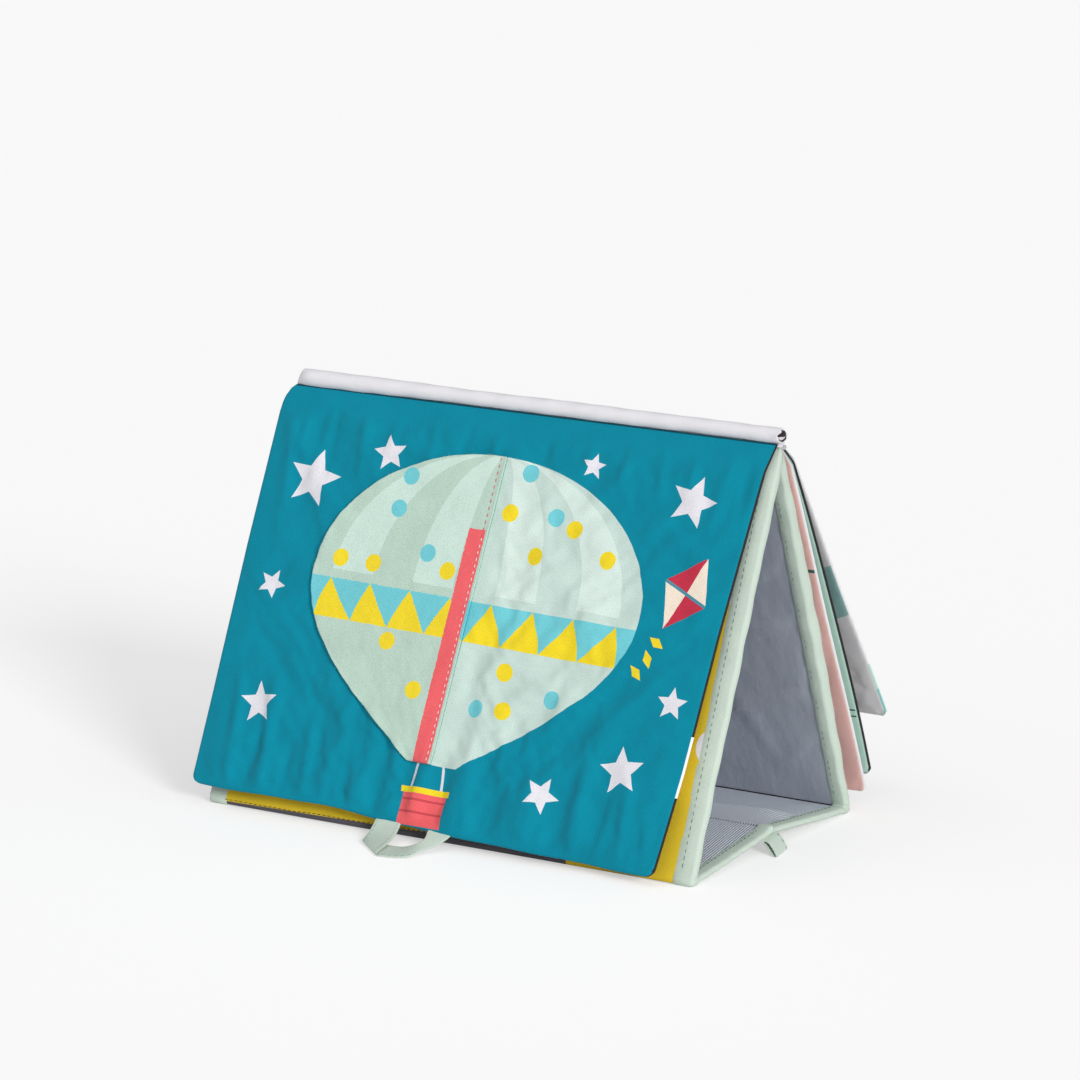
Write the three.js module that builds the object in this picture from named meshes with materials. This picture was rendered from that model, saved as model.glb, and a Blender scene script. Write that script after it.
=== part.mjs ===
// A tummy time book: a soft activity book that stands up as a tent in front of a baby lying on its front.
// Four stiffened cloth panels make the tent: a front wall, a rear wall and a floor in two halves. The
// floor has a crease in the middle, so that it folds up between the walls and the book closes flat.
// A padded roll runs along the ridge. One page hangs over the front wall and three over the rear wall,
// and each turns over the roll. The front page carries a felt lift-flap and a ribbon loop.
//
// Millimetres, +X along the ridge, +Y from the front wall to the rear wall, +Z up. The origin is the
// middle of the flat that the front bottom edge stands on.

import * as THREE from "three";

// Tent
const bookLength = 250; // along the ridge
const wallSlant = 193; // outside of a wall, foot to ridge
const baseHalf = 73.3; // underside of half the floor, foot to crease
const creaseAngle = 5.5; // degrees that each floor half rises towards the crease
const cloth = 0.6; // outer cloth, lining and binding
const gap = 0.3; // between layers that lie on each other
const wallBoard = 2; // stiffener in a wall
const baseBoard = 0.8; // stiffener in a floor half
const hingeGap = 0.4; // between the mitred ends of two panels
const bindingOutside = 10; // width of the edge binding on the outside of the tent
const bindingInside = 7; // width of the edge binding on the inside
const footFlat = 5; // width of the flat under each bottom edge
const creaseLeg = 5; // each leg of the cloth hinge under the crease

// Ridge
const rollRadius = 3.3;
const rollShort = 1; // the roll stops this much short of the right end
const neckHeight = 1.6; // seam between the walls and the roll
const neckWidth = 1;
const stripThick = 0.5; // unpadded cloth that a page hangs by
const rootAcross = 0.9; // each rear page is sewn this much further out than the last
const rootRise = 0.85; // and this much higher
const firstRoot = new THREE.Vector2(1.15, -0.1); // first rear page's seam, from the ridge line

// Pages
const pageCloth = 0.4;
const paddingEdge = 0.4; // wadding at the page's rim
const paddingCrown = 1.2; // what it gains towards the middle
const crownReach = 40; // how far from the rim the wadding reaches full thickness
const pageClear = 0.9; // room between one page and the next at their top edges
const paddingDrop = 12; // wadding starts this far below the ridge line
const cornerRadius = 10;
const sewnInset = 3; // a page is this much narrower on each side where it is sewn
const rearPageWidth = 246;
const pinkDrop = 199.5; // from the middle of the roll to the page's bottom edge
const mintDrop = 195;
const whiteDrop = 185;
const frontPageTilt = 1.5; // degrees that the front page stands off its wall
const frontPage = {
  topLeft: -130,
  topRight: 120.5,
  bottomLeft: -131.5,
  bottomRight: 110,
  leftDrop: 190.5, // from the middle of the roll to the bottom edge
  rightDrop: 197,
};

// Lift-flap, shaped as half a balloon
const flapThick = 1.2;
const flapReach = 84; // widest place, from its sewn edge
const flapHeight = 140;
const flapShoulder = 62; // from the top down to the widest place
const flapMouth = 13; // half width at the bottom
const flapX = -6; // top of its sewn edge
const flapDrop = 25; // from the middle of the roll to the top of the flap
const flapLean = 1.3; // degrees that the sewn edge leans with the page

// Ribbons
const ribbonWidth = 13;
const ribbonThick = 1;
const loopX = -11.5; // middle of the loop
const loopGap = 13; // between the loop's legs
const loopLength = 24;
const loopCorner = 6;
const tabWidth = 13;
const tabReach = 8.5; // how far the tab under the crease sticks out of the tent
const tabThick = 1.6;

// Worked out from the sizes above
const radians = THREE.MathUtils.degToRad;
const rise = radians(creaseAngle);
const halfSpan = baseHalf * Math.cos(rise);
const creaseHeight = baseHalf * Math.sin(rise);
const lean = Math.asin(halfSpan / wallSlant);
const ridgeHeight = wallSlant * Math.cos(lean);
const footAngle = Math.PI / 2 - lean - rise;
const wallThick = wallBoard + 2 * (cloth + gap);
const baseThick = baseBoard + 2 * (cloth + gap);
const halfLength = bookLength / 2;
const rollRise = neckHeight + rollRadius;
const pageEdge = paddingEdge + 2 * (pageCloth + gap);

function fabric(color, roughness = 0.85) {
  return new THREE.MeshStandardMaterial({ color, roughness, metalness: 0 });
}

const paint = {
  teal: fabric(0x0a93ae, 0.7),
  yellow: fabric(0xf0d030, 0.75),
  mint: fabric(0xc4d9cd, 0.8),
  lining: fabric(0x7c808b, 0.6),
  floorLining: fabric(0xa9a9b6, 0.65),
  under: fabric(0x4e4b4d),
  white: fabric(0xf0eff2, 0.75),
  pink: fabric(0xe3a5a3, 0.8),
  mintPage: fabric(0xa9cfbf, 0.8),
  dark: fabric(0x2a292c, 0.8),
  pale: fabric(0xd5d2d5, 0.75),
  wadding: fabric(0xf4f2ea, 0.95),
  felt: fabric(0xcfe6dc, 0.95),
  board: new THREE.MeshStandardMaterial({ color: 0xb9b4a6, roughness: 0.7, metalness: 0 }),
};

function named(name, geometry, material) {
  const mesh = new THREE.Mesh(geometry, material);
  mesh.name = name;
  return mesh;
}

// Moves every vertex of a geometry by a rule, and turns the faces round where the rule mirrors them.
function reshape(geometry, rule, mirrored = false) {
  const shape = geometry.index ? geometry.toNonIndexed() : geometry;
  const positions = shape.getAttribute("position");
  const point = new THREE.Vector3();
  const moved = [];
  for (let i = 0; i < positions.count; i++) {
    point.fromBufferAttribute(positions, i);
    moved.push(rule(point));
  }
  const order = mirrored ? [0, 2, 1] : [0, 1, 2];
  for (let face = 0; face < moved.length; face += 3) {
    order.forEach((from, to) => {
      const p = moved[face + from];
      positions.setXYZ(face + to, p.x, p.y, p.z);
    });
  }
  shape.deleteAttribute("uv");
  shape.computeVertexNormals();
  return shape;
}

// A solid with the same outline in Y and Z all the way from x0 to x1.
function alongX(outline, x0, x1, curveSegments = 12) {
  const shape = outline instanceof THREE.Shape ? outline : new THREE.Shape(outline);
  const solid = new THREE.ExtrudeGeometry(shape, { depth: x1 - x0, bevelEnabled: false, curveSegments });
  return reshape(solid, (p) => new THREE.Vector3(x0 + p.z, p.x, p.y));
}

// A flat strip of cloth from one line in the Y-Z plane to another, each with its own half width.
function stripBetween(from, to, halfFrom, halfTo, thick) {
  const along = to.clone().sub(from);
  const across = new THREE.Vector2(along.y, -along.x).normalize();
  return reshape(new THREE.BoxGeometry(1, 1, 1), (p) => {
    const t = p.z + 0.5;
    const middle = from.clone().addScaledVector(along, t);
    middle.addScaledVector(across, p.y * thick);
    return new THREE.Vector3(2 * p.x * THREE.MathUtils.lerp(halfFrom, halfTo, t), middle.x, middle.y);
  });
}

// Panels. A layer's section is drawn in X and depth below the panel's outside. Its two ends follow the
// mitre at the foot and the mitre at the ridge or the crease.

const wallMitre = Math.atan2(
  wallThick * Math.sin(footAngle),
  baseThick + wallThick * Math.cos(footAngle),
);
const baseMitre = footAngle - wallMitre;

// Both walls end on the plane through the ridge, skin and all.
const wallHead = (depth) => (halfSpan - hingeGap / 2 - depth * Math.cos(lean)) / Math.sin(lean);

const wallPanel = {
  thick: wallThick,
  board: wallBoard,
  along: new THREE.Vector2(Math.sin(lean), Math.cos(lean)),
  inward: new THREE.Vector2(Math.cos(lean), -Math.sin(lean)),
  mirrored: false,
  foot: (depth) => depth / Math.tan(wallMitre) + hingeGap / 2 / Math.sin(wallMitre),
  head: wallHead,
  skinFoot: footFlat + gap,
  skinHead: wallHead,
};

const basePanel = {
  thick: baseThick,
  board: baseBoard,
  along: new THREE.Vector2(Math.cos(rise), Math.sin(rise)),
  inward: new THREE.Vector2(-Math.sin(rise), Math.cos(rise)),
  mirrored: true,
  foot: (depth) => depth / Math.tan(baseMitre) + hingeGap / 2 / Math.sin(baseMitre),
  head: (depth) => (halfSpan - hingeGap / 2 + depth * Math.sin(rise)) / Math.cos(rise),
  skinFoot: footFlat + gap,
  skinHead: () => baseHalf - creaseLeg - gap,
};

// A point of a panel, from the distance up its outside and the depth below it.
function onPanel(panel, up, depth) {
  const spot = panel.along.clone().multiplyScalar(up);
  return spot.addScaledVector(panel.inward, depth);
}

function panelLayer(panel, section, foot, head) {
  const shape = new THREE.Shape(section.map(([x, depth]) => new THREE.Vector2(x, depth)));
  const solid = new THREE.ExtrudeGeometry(shape, { depth: 1, bevelEnabled: false });
  const rule = (p) => {
    const spot = onPanel(panel, THREE.MathUtils.lerp(foot(p.y), head(p.y), p.z), p.y);
    return new THREE.Vector3(p.x, spot.x, spot.y);
  };
  return reshape(solid, rule, panel.mirrored);
}

function rectangle(x0, x1, depth0, depth1) {
  return [
    [x0, depth0],
    [x1, depth0],
    [x1, depth1],
    [x0, depth1],
  ];
}

// The binding wraps the panel's end: one leg outside, one inside, and the fold between them.
function bindingSection(side, thick) {
  const edge = halfLength;
  const section = [
    [edge - bindingOutside, 0],
    [edge, 0],
    [edge, thick],
    [edge - bindingInside, thick],
    [edge - bindingInside, thick - cloth],
    [edge - cloth, thick - cloth],
    [edge - cloth, cloth],
    [edge - bindingOutside, cloth],
  ];
  return section.map(([x, depth]) => [side * x, depth]);
}

function makePanel(prefix, panel, names, colours) {
  const group = new THREE.Group();
  const skinEdge = halfLength - bindingOutside - gap;
  const boardEdge = halfLength - cloth - gap;
  const liningEdge = halfLength - bindingInside - gap;
  const boardTop = cloth + gap;
  const skin = panelLayer(
    panel,
    rectangle(-skinEdge, skinEdge, 0, cloth),
    () => panel.skinFoot,
    panel.skinHead,
  );
  const board = panelLayer(
    panel,
    rectangle(-boardEdge, boardEdge, boardTop, boardTop + panel.board),
    panel.foot,
    panel.head,
  );
  const lining = panelLayer(
    panel,
    rectangle(-liningEdge, liningEdge, panel.thick - cloth, panel.thick),
    panel.foot,
    panel.head,
  );
  group.add(named(`${prefix}_${names.skin}`, skin, colours.skin));
  group.add(named(`${prefix}_board`, board, paint.board));
  group.add(named(`${prefix}_lining`, lining, colours.lining));
  for (const [end, side] of Object.entries(names.ends)) {
    const binding = panelLayer(panel, bindingSection(side, panel.thick), panel.foot, panel.head);
    group.add(named(`${prefix}_binding_${end}`, binding, paint.mint));
  }
  return group;
}

// Cloth hinges: the outside cloth runs round each bottom edge, and under the crease.

function footCloth() {
  const wallTop = onPanel(wallPanel, footFlat, 0);
  const wallInner = onPanel(wallPanel, footFlat, cloth);
  const cornerReach = cloth / Math.tan(footAngle / 2);
  const corner = onPanel(basePanel, cornerReach, cloth);
  const baseInner = onPanel(basePanel, footFlat, cloth);
  const outline = [
    new THREE.Vector2(0, 0),
    new THREE.Vector2(footFlat, 0),
    new THREE.Vector2(footFlat, baseInner.y),
    corner,
    wallInner,
    wallTop,
  ];
  const edge = halfLength - bindingOutside - gap;
  return alongX(outline, -edge, edge);
}

function creaseCloth() {
  const low = onPanel(basePanel, baseHalf - creaseLeg, 0);
  const lowTop = onPanel(basePanel, baseHalf - creaseLeg, cloth);
  const mirror = (p) => new THREE.Vector2(2 * halfSpan - p.x, p.y);
  const outline = [
    low,
    new THREE.Vector2(halfSpan, creaseHeight),
    mirror(low),
    mirror(lowTop),
    new THREE.Vector2(halfSpan, creaseHeight + cloth / Math.cos(rise)),
    lowTop,
  ];
  const edge = halfLength - bindingOutside - gap;
  return alongX(outline, -edge, edge);
}

// The tab is a folded end of ribbon that droops from the crease to the floor.
function creaseTab() {
  const start = halfLength + gap;
  const top = creaseHeight;
  const outline = [
    new THREE.Vector2(start, top - tabThick),
    new THREE.Vector2(start + tabReach * 0.75, gap),
    new THREE.Vector2(start + tabReach, gap),
    new THREE.Vector2(start + tabReach, gap + tabThick),
    new THREE.Vector2(start + tabReach * 0.3, top),
    new THREE.Vector2(start, top),
  ];
  const depth = tabWidth;
  const solid = new THREE.ExtrudeGeometry(new THREE.Shape(outline), { depth, bevelEnabled: false });
  return reshape(solid, (p) => new THREE.Vector3(p.x, halfSpan + depth / 2 - p.z, p.y));
}

// Ridge roll, drawn round its own middle. The cover narrows to a seam that runs down to the walls.

function rollCover() {
  const meet = Math.acos(neckWidth / 2 / rollRadius);
  const neckBottom = gap - rollRise;
  const outline = new THREE.Shape();
  outline.moveTo(neckWidth / 2, neckBottom);
  outline.absarc(0, 0, rollRadius, -meet, Math.PI + meet, false);
  outline.lineTo(-neckWidth / 2, neckBottom);
  outline.closePath();
  const bore = new THREE.Path();
  bore.absarc(0, 0, rollRadius - cloth, 0, 2 * Math.PI, true);
  outline.holes.push(bore);
  return alongX(outline, -halfLength, halfLength - rollShort);
}

function rollCore() {
  const length = bookLength - rollShort;
  const core = new THREE.CylinderGeometry(rollRadius - cloth - gap, rollRadius - cloth - gap, length, 20);
  core.rotateZ(Math.PI / 2);
  core.translate(-rollShort / 2, 0, 0);
  return core;
}

// Pages. Each is drawn hanging straight down from the middle of the roll, with X along the ridge, Z up
// and Y through its thickness, and is then turned to the angle that it hangs at.

// A rounded bottom corner: points round an arc that touches both edges.
function roundCorner(corner, before, after, steps = 4) {
  const toBefore = before.clone().sub(corner).normalize();
  const toAfter = after.clone().sub(corner).normalize();
  const start = corner.clone().addScaledVector(toBefore, cornerRadius);
  const end = corner.clone().addScaledVector(toAfter, cornerRadius);
  return new THREE.QuadraticBezierCurve(start, corner, end).getPoints(steps);
}

function pageOutline(topLeft, topRight, bottomRight, bottomLeft) {
  return [
    topLeft,
    ...roundCorner(bottomLeft, topLeft, bottomRight),
    ...roundCorner(bottomRight, bottomLeft, topRight),
    topRight,
  ];
}

// How thick a page is at a distance from its rim: it swells quickly, then levels off.
function pageThickness(inset) {
  return pageEdge + paddingCrown * Math.sin((Math.PI / 2) * (inset / crownReach));
}

// One layer of a page, between two heights that depend on the distance from the rim.
function pageLayer(outline, low, high) {
  const box = new THREE.Box2().setFromPoints(outline);
  const middle = box.getCenter(new THREE.Vector2());
  const half = box.getSize(new THREE.Vector2()).multiplyScalar(0.5);
  const insets = [0, 0.15, 0.45, 1].map((share) => share * crownReach);
  const points = [];
  const faces = [];
  for (const height of [low, high]) {
    for (const inset of insets) {
      for (const rim of outline) {
        const x = middle.x + (rim.x - middle.x) * (1 - inset / half.x);
        const z = middle.y + (rim.y - middle.y) * (1 - inset / half.y);
        points.push(x, height(inset), z);
      }
    }
    points.push(middle.x, height(crownReach), middle.y);
  }
  const count = outline.length;
  const sheet = insets.length * count + 1;
  for (let i = 0; i < count; i++) {
    const next = (i + 1) % count;
    for (let ring = 0; ring + 1 < insets.length; ring++) {
      const a = ring * count + i;
      const b = ring * count + next;
      faces.push(a, b, b + count, a, b + count, a + count);
      faces.push(sheet + a, sheet + b + count, sheet + b);
      faces.push(sheet + a, sheet + a + count, sheet + b + count);
    }
    const last = (insets.length - 1) * count;
    faces.push(last + i, last + next, sheet - 1);
    faces.push(sheet + last + i, 2 * sheet - 1, sheet + last + next);
    faces.push(i, sheet + next, next, i, sheet + i, sheet + next);
  }
  const geometry = new THREE.BufferGeometry();
  geometry.setAttribute("position", new THREE.Float32BufferAttribute(points, 3));
  geometry.setIndex(faces);
  geometry.computeVertexNormals();
  return geometry;
}

// Cloth, wadding and cloth. "Near" is the side towards -Y and "far" the side towards +Y.
function makePage(prefix, outline, offset, sides) {
  const group = new THREE.Group();
  const half = (inset) => pageThickness(inset) / 2;
  const padding = (inset) => half(inset) - pageCloth - gap;
  const near = pageLayer(
    outline,
    (inset) => offset - half(inset),
    (inset) => offset - half(inset) + pageCloth,
  );
  const wadding = pageLayer(
    outline,
    (inset) => offset - padding(inset),
    (inset) => offset + padding(inset),
  );
  const far = pageLayer(
    outline,
    (inset) => offset + half(inset) - pageCloth,
    (inset) => offset + half(inset),
  );
  group.add(named(`${prefix}_${sides.near}`, near, sides.nearPaint));
  group.add(named(`${prefix}_wadding`, wadding, paint.wadding));
  group.add(named(`${prefix}_${sides.far}`, far, sides.farPaint));
  return group;
}

// Half a balloon, drawn from the top of its sewn edge.
function flapShape() {
  const shape = new THREE.Shape();
  shape.moveTo(0, 0);
  shape.absellipse(0, -flapShoulder, flapReach, flapShoulder, Math.PI / 2, Math.PI, false);
  shape.bezierCurveTo(
    -flapReach,
    -flapShoulder - 0.45 * (flapHeight - flapShoulder),
    -0.45 * flapReach,
    -flapShoulder - 0.75 * (flapHeight - flapShoulder),
    -flapMouth,
    -flapHeight,
  );
  shape.lineTo(0, -flapHeight);
  return shape;
}

// The loop is a ribbon folded square at two corners, sewn by both ends into the page's bottom seam.
function loopShape() {
  const outer = loopGap / 2 + ribbonWidth;
  const inner = loopGap / 2;
  const band = loopLength - ribbonWidth;
  return new THREE.Shape([
    new THREE.Vector2(-outer, 0),
    new THREE.Vector2(-outer, loopCorner - loopLength),
    new THREE.Vector2(loopCorner - outer, -loopLength),
    new THREE.Vector2(outer - loopCorner, -loopLength),
    new THREE.Vector2(outer, loopCorner - loopLength),
    new THREE.Vector2(outer, 0),
    new THREE.Vector2(inner, 0),
    new THREE.Vector2(inner, -band),
    new THREE.Vector2(-inner, -band),
    new THREE.Vector2(-inner, 0),
  ]);
}

// A flat piece drawn in X and Z whose thickness grows towards -Y.
function sheetTowardsFront(shape, thick, curveSegments = 12) {
  const solid = new THREE.ExtrudeGeometry(shape, { depth: thick, bevelEnabled: false, curveSegments });
  return reshape(solid, (p) => new THREE.Vector3(p.x, -p.z, p.y));
}

const book = new THREE.Group();
book.position.y = -footFlat / 2;

const frontEnds = { left: -1, right: 1 };
const rearEnds = { right: -1, left: 1 };
const wallNames = { skin: "outer_cloth", ends: frontEnds };
const baseNames = { skin: "under_cloth", ends: frontEnds };
const wallColours = { skin: paint.yellow, lining: paint.lining };
const rearWallColours = { skin: paint.under, lining: paint.lining };
const baseColours = { skin: paint.under, lining: paint.floorLining };

book.add(makePanel("front_wall", wallPanel, wallNames, wallColours));
book.add(makePanel("base_front", basePanel, baseNames, baseColours));
book.add(named("front_foot_cloth", footCloth(), paint.under));

// The rear half is the front half turned half round about the middle of the floor.
const rearHalf = new THREE.Group();
rearHalf.position.y = 2 * halfSpan;
rearHalf.rotation.z = Math.PI;
rearHalf.add(makePanel("rear_wall", wallPanel, { ...wallNames, ends: rearEnds }, rearWallColours));
rearHalf.add(makePanel("base_rear", basePanel, { ...baseNames, ends: rearEnds }, baseColours));
rearHalf.add(named("rear_foot_cloth", footCloth(), paint.under));
book.add(rearHalf);

book.add(named("crease_cloth", creaseCloth(), paint.under));
book.add(named("crease_tab", creaseTab(), paint.mint));

const ridge = new THREE.Group();
ridge.position.set(0, halfSpan, ridgeHeight + rollRise);
book.add(ridge);
ridge.add(named("spine_roll_cover", rollCover(), paint.white));
ridge.add(named("spine_roll_core", rollCore(), paint.dark));

// Front page, with its flap and loop
const topDrop = paddingDrop + rollRise * Math.cos(lean);
const frontTurn = new THREE.Group();
frontTurn.rotation.x = -(lean + radians(frontPageTilt));
ridge.add(frontTurn);

const frontOutline = pageOutline(
  new THREE.Vector2(frontPage.topLeft, -topDrop),
  new THREE.Vector2(frontPage.topRight, -topDrop),
  new THREE.Vector2(frontPage.bottomRight, -frontPage.rightDrop),
  new THREE.Vector2(frontPage.bottomLeft, -frontPage.leftDrop),
);
frontTurn.add(
  makePage("front_page", frontOutline, 0, {
    near: "face_cloth",
    nearPaint: paint.teal,
    far: "back_cloth",
    farPaint: paint.dark,
  }),
);

const frontStrip = reshape(new THREE.BoxGeometry(1, 1, 1), (p) => {
  const t = 0.5 - p.z;
  const left = THREE.MathUtils.lerp(frontPage.topLeft + 2 * sewnInset, frontPage.topLeft, t);
  const right = THREE.MathUtils.lerp(frontPage.topRight + sewnInset, frontPage.topRight, t);
  const drop = THREE.MathUtils.lerp(rollRadius + gap, topDrop - gap, t);
  return new THREE.Vector3(THREE.MathUtils.lerp(left, right, p.x + 0.5), p.y * stripThick, -drop);
});
frontTurn.add(named("front_page_hinge_strip", frontStrip, paint.teal));

const pageFull = pageEdge + paddingCrown;
const flap = named("felt_flap", sheetTowardsFront(flapShape(), flapThick), paint.felt);
flap.position.set(flapX, -pageFull / 2 - gap, -flapDrop);
flap.rotation.y = radians(flapLean);
frontTurn.add(flap);

// The loop hangs under the page's slanting bottom edge and slopes down to the floor in front.
const edgeWidth = frontPage.bottomRight - frontPage.bottomLeft;
const edgeSlope = (frontPage.rightDrop - frontPage.leftDrop) / edgeWidth;
const loopHalf = loopGap / 2 + ribbonWidth;
const edgeDrop = frontPage.leftDrop + edgeSlope * (loopX - frontPage.bottomLeft + loopHalf);
const loopDrop = edgeDrop + gap + ribbonThick;
const pageTurn = lean + radians(frontPageTilt);
const seamHeight = ridgeHeight + rollRise - loopDrop * Math.cos(pageTurn);
const loopSlope = Math.acos((seamHeight - ribbonThick) / loopLength);
const loop = named("ribbon_loop", sheetTowardsFront(loopShape(), ribbonThick), paint.mint);
loop.position.set(loopX, 0, -loopDrop);
loop.rotation.x = pageTurn - loopSlope;
frontTurn.add(loop);

// Rear pages, from the wall outwards. Each hangs at its own angle from the wall, and each is sewn a
// little further out than the one under it.
const rearPages = [
  { name: "pink_page", fan: 4, drop: pinkDrop, near: paint.pink, far: paint.pale },
  { name: "mint_page", fan: 5.4, drop: mintDrop, near: paint.mintPage, far: paint.dark },
  { name: "white_page", fan: 13.4, drop: whiteDrop, near: paint.pale, far: paint.white },
];

rearPages.forEach((page, index) => {
  // Middle of the page at its padding's top edge, down the wall and out from it.
  const out = pageClear + pageEdge / 2 + index * (pageClear + pageEdge);
  const rollOut = rollRise * Math.sin(lean);
  const fan = radians(page.fan);
  const top = topDrop * Math.cos(fan) + (out - rollOut) * Math.sin(fan);
  const offset = (out - rollOut) * Math.cos(fan) - topDrop * Math.sin(fan);
  const halfWidth = rearPageWidth / 2;
  const outline = pageOutline(
    new THREE.Vector2(-halfWidth, -top),
    new THREE.Vector2(halfWidth, -top),
    new THREE.Vector2(halfWidth, -page.drop),
    new THREE.Vector2(-halfWidth, -page.drop),
  );
  const turn = new THREE.Group();
  turn.rotation.x = lean + fan;
  turn.add(
    makePage(page.name, outline, offset, {
      near: "inner_cloth",
      nearPaint: page.near,
      far: "outer_cloth",
      farPaint: page.far,
    }),
  );
  ridge.add(turn);

  const root = new THREE.Vector2(
    firstRoot.x + index * rootAcross,
    firstRoot.y + index * rootRise - rollRise,
  );
  const angle = lean + fan;
  const pageTop = new THREE.Vector2(
    offset * Math.cos(angle) + (top - gap) * Math.sin(angle),
    offset * Math.sin(angle) - (top - gap) * Math.cos(angle),
  );
  const strip = stripBetween(root, pageTop, halfWidth - sewnInset, halfWidth, stripThick);
  ridge.add(named(`${page.name}_hinge_strip`, strip, page.near));
});

export default book;
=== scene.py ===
# %% [markdown]
# # A tummy time book
# A soft activity book that stands up as a tent in front of a baby lying on its front. Four stiffened
# cloth panels make the tent, a white roll runs along its ridge, and padded pages hang from the roll.
# The solids of the book come packed, with their joints. This lesson dresses them: it makes the cloth,
# the seams and the prints, and hangs most pieces on the body that carries them. The pieces that run
# between two bodies are not hung on any.

# %% Load the imported book
import math

import bpy
import bmesh
import numpy as np
from mathutils import Matrix, Vector


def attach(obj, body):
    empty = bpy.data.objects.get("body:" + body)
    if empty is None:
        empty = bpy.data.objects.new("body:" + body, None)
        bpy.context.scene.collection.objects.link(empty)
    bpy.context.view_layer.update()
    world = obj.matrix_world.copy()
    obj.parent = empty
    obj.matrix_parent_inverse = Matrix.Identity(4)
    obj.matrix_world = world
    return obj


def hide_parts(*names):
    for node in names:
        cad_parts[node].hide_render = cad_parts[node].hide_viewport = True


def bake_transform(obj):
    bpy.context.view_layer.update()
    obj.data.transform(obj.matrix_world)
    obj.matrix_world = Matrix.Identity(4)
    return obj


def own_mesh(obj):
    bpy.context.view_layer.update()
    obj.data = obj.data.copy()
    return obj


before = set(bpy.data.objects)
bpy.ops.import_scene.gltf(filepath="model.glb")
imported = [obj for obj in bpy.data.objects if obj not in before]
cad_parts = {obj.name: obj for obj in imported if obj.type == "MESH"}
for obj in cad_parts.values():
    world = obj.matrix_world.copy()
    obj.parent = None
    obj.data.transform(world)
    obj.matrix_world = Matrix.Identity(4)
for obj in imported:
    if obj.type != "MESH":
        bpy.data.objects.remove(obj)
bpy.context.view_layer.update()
scene = bpy.context.scene

# %% [markdown]
# ## Sizes
# The book was drawn in millimetres, so the sizes here are millimetres too. X runs along the ridge, Y
# from the front wall to the rear wall, Z up. Blender works in metres, so points are scaled once, when a
# mesh is made.

# %% Sizes of the tent
MM = 0.001
half_length = 125.0
wall_slant = 193.0
base_half = 73.3
rise = math.radians(5.5)
half_span = base_half * math.cos(rise)
lean = math.asin(half_span / wall_slant)
foot_angle = math.pi / 2 - lean - rise
foot_y = -2.5
ridge_y = foot_y + half_span
ridge_z = wall_slant * math.cos(lean)
cloth = 0.6
wall_thick = 3.8
base_thick = 2.6
hinge_gap = 0.4
binding_outside = 10.0
binding_inside = 7.0
roll_radius = 3.3
roll_y, roll_z = ridge_y, ridge_z + 1.6 + roll_radius
wall_mitre = math.atan2(
    wall_thick * math.sin(foot_angle), base_thick + wall_thick * math.cos(foot_angle)
)
base_mitre = foot_angle - wall_mitre
print(f"ridge {ridge_z:.1f} mm up, walls lean {math.degrees(lean):.1f} degrees")


# %% Places on a wall and on the floor
def wall_at(up, depth):
    """(y, z) of a point of the front wall, from the distance up its outside and the depth below it."""
    y = foot_y + up * math.sin(lean) + depth * math.cos(lean)
    return np.stack(np.broadcast_arrays(y, up * math.cos(lean) - depth * math.sin(lean)), -1)


def base_at(along, depth):
    """(y, z) of a point of the floor's front half, from the foot and up from its underside."""
    y = foot_y + along * math.cos(rise) - depth * math.sin(rise)
    return np.stack(np.broadcast_arrays(y, along * math.sin(rise) + depth * math.cos(rise)), -1)


def wall_head(depth):
    return (half_span - hinge_gap / 2 - depth * math.cos(lean)) / math.sin(lean)


def wall_foot(depth):
    return depth / math.tan(wall_mitre) + hinge_gap / 2 / math.sin(wall_mitre)


def base_head(depth):
    return (half_span - hinge_gap / 2 + depth * math.sin(rise)) / math.cos(rise)


def base_foot(depth):
    return depth / math.tan(base_mitre) + hinge_gap / 2 / math.sin(base_mitre)


def bowed(half, up, depth):
    """The wall's outside line. The rear wall's cloth stands off its board as if a little air is in it."""
    out = 3.0 * np.sin(np.pi * np.clip(up / wall_slant, 0, 1)) ** 0.8 if half == "rear" else 0.0
    return wall_at(up, depth - out)


def on_half(half, yz):
    """The rear half of the tent is the front half seen in a mirror at the ridge."""
    yz = np.array(yz, float)
    if half == "rear":
        yz[..., 0] = 2 * ridge_y - yz[..., 0]
    return yz


# %% [markdown]
# ## Camera
# The view is the one a shop would take: a long lens from the front right, a little above the book. The
# camera looks along the line from its place to a point near the middle of the tent.

# %% Make the camera
camera_turn, camera_rise, camera_roll = (math.radians(a) for a in (31.025, 12.357, 0.646))
camera_distance = 2223.04
aim_right, aim_up, aim_height = 3.772, 27.07, 95.0
back = Vector(
    (
        math.sin(camera_turn) * math.cos(camera_rise),
        -math.cos(camera_turn) * math.cos(camera_rise),
        math.sin(camera_rise),
    )
)
level = Vector((math.cos(camera_turn), math.sin(camera_turn), 0))
upright = back.cross(level)
right = level * math.cos(camera_roll) + upright * math.sin(camera_roll)
above = upright * math.cos(camera_roll) - level * math.sin(camera_roll)
aim = right * aim_right + above * aim_up + Vector((0, ridge_y, aim_height))
camera_data = bpy.data.cameras.new("camera")
camera_data.lens = 166.667
camera_data.sensor_width = 36
camera = bpy.data.objects.new("camera", camera_data)
scene.collection.objects.link(camera)
place = Matrix((right, above, back)).transposed().to_4x4()
place.translation = (aim + back * camera_distance) * MM
camera.matrix_world = place
scene.camera = camera
print("camera stands", round(place.translation.length, 2), "m off")

# %% [markdown]
# ## Floor and light
# The floor is a plain pale sheet, and the sky around it is white, brighter to the right and in front
# than behind. Two broad suns light the book: the key from the right, which reaches into the tent and
# rakes across the pages to draw their folds, and a weak fill from the left. A sun lights the whole
# floor evenly, so no edge of light shows. Together they bring each colour out about as it was written.
# The floor looks a little brighter to the camera than it is, as the sheet in a studio picture does, and
# it keeps the book's soft shadow.


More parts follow.
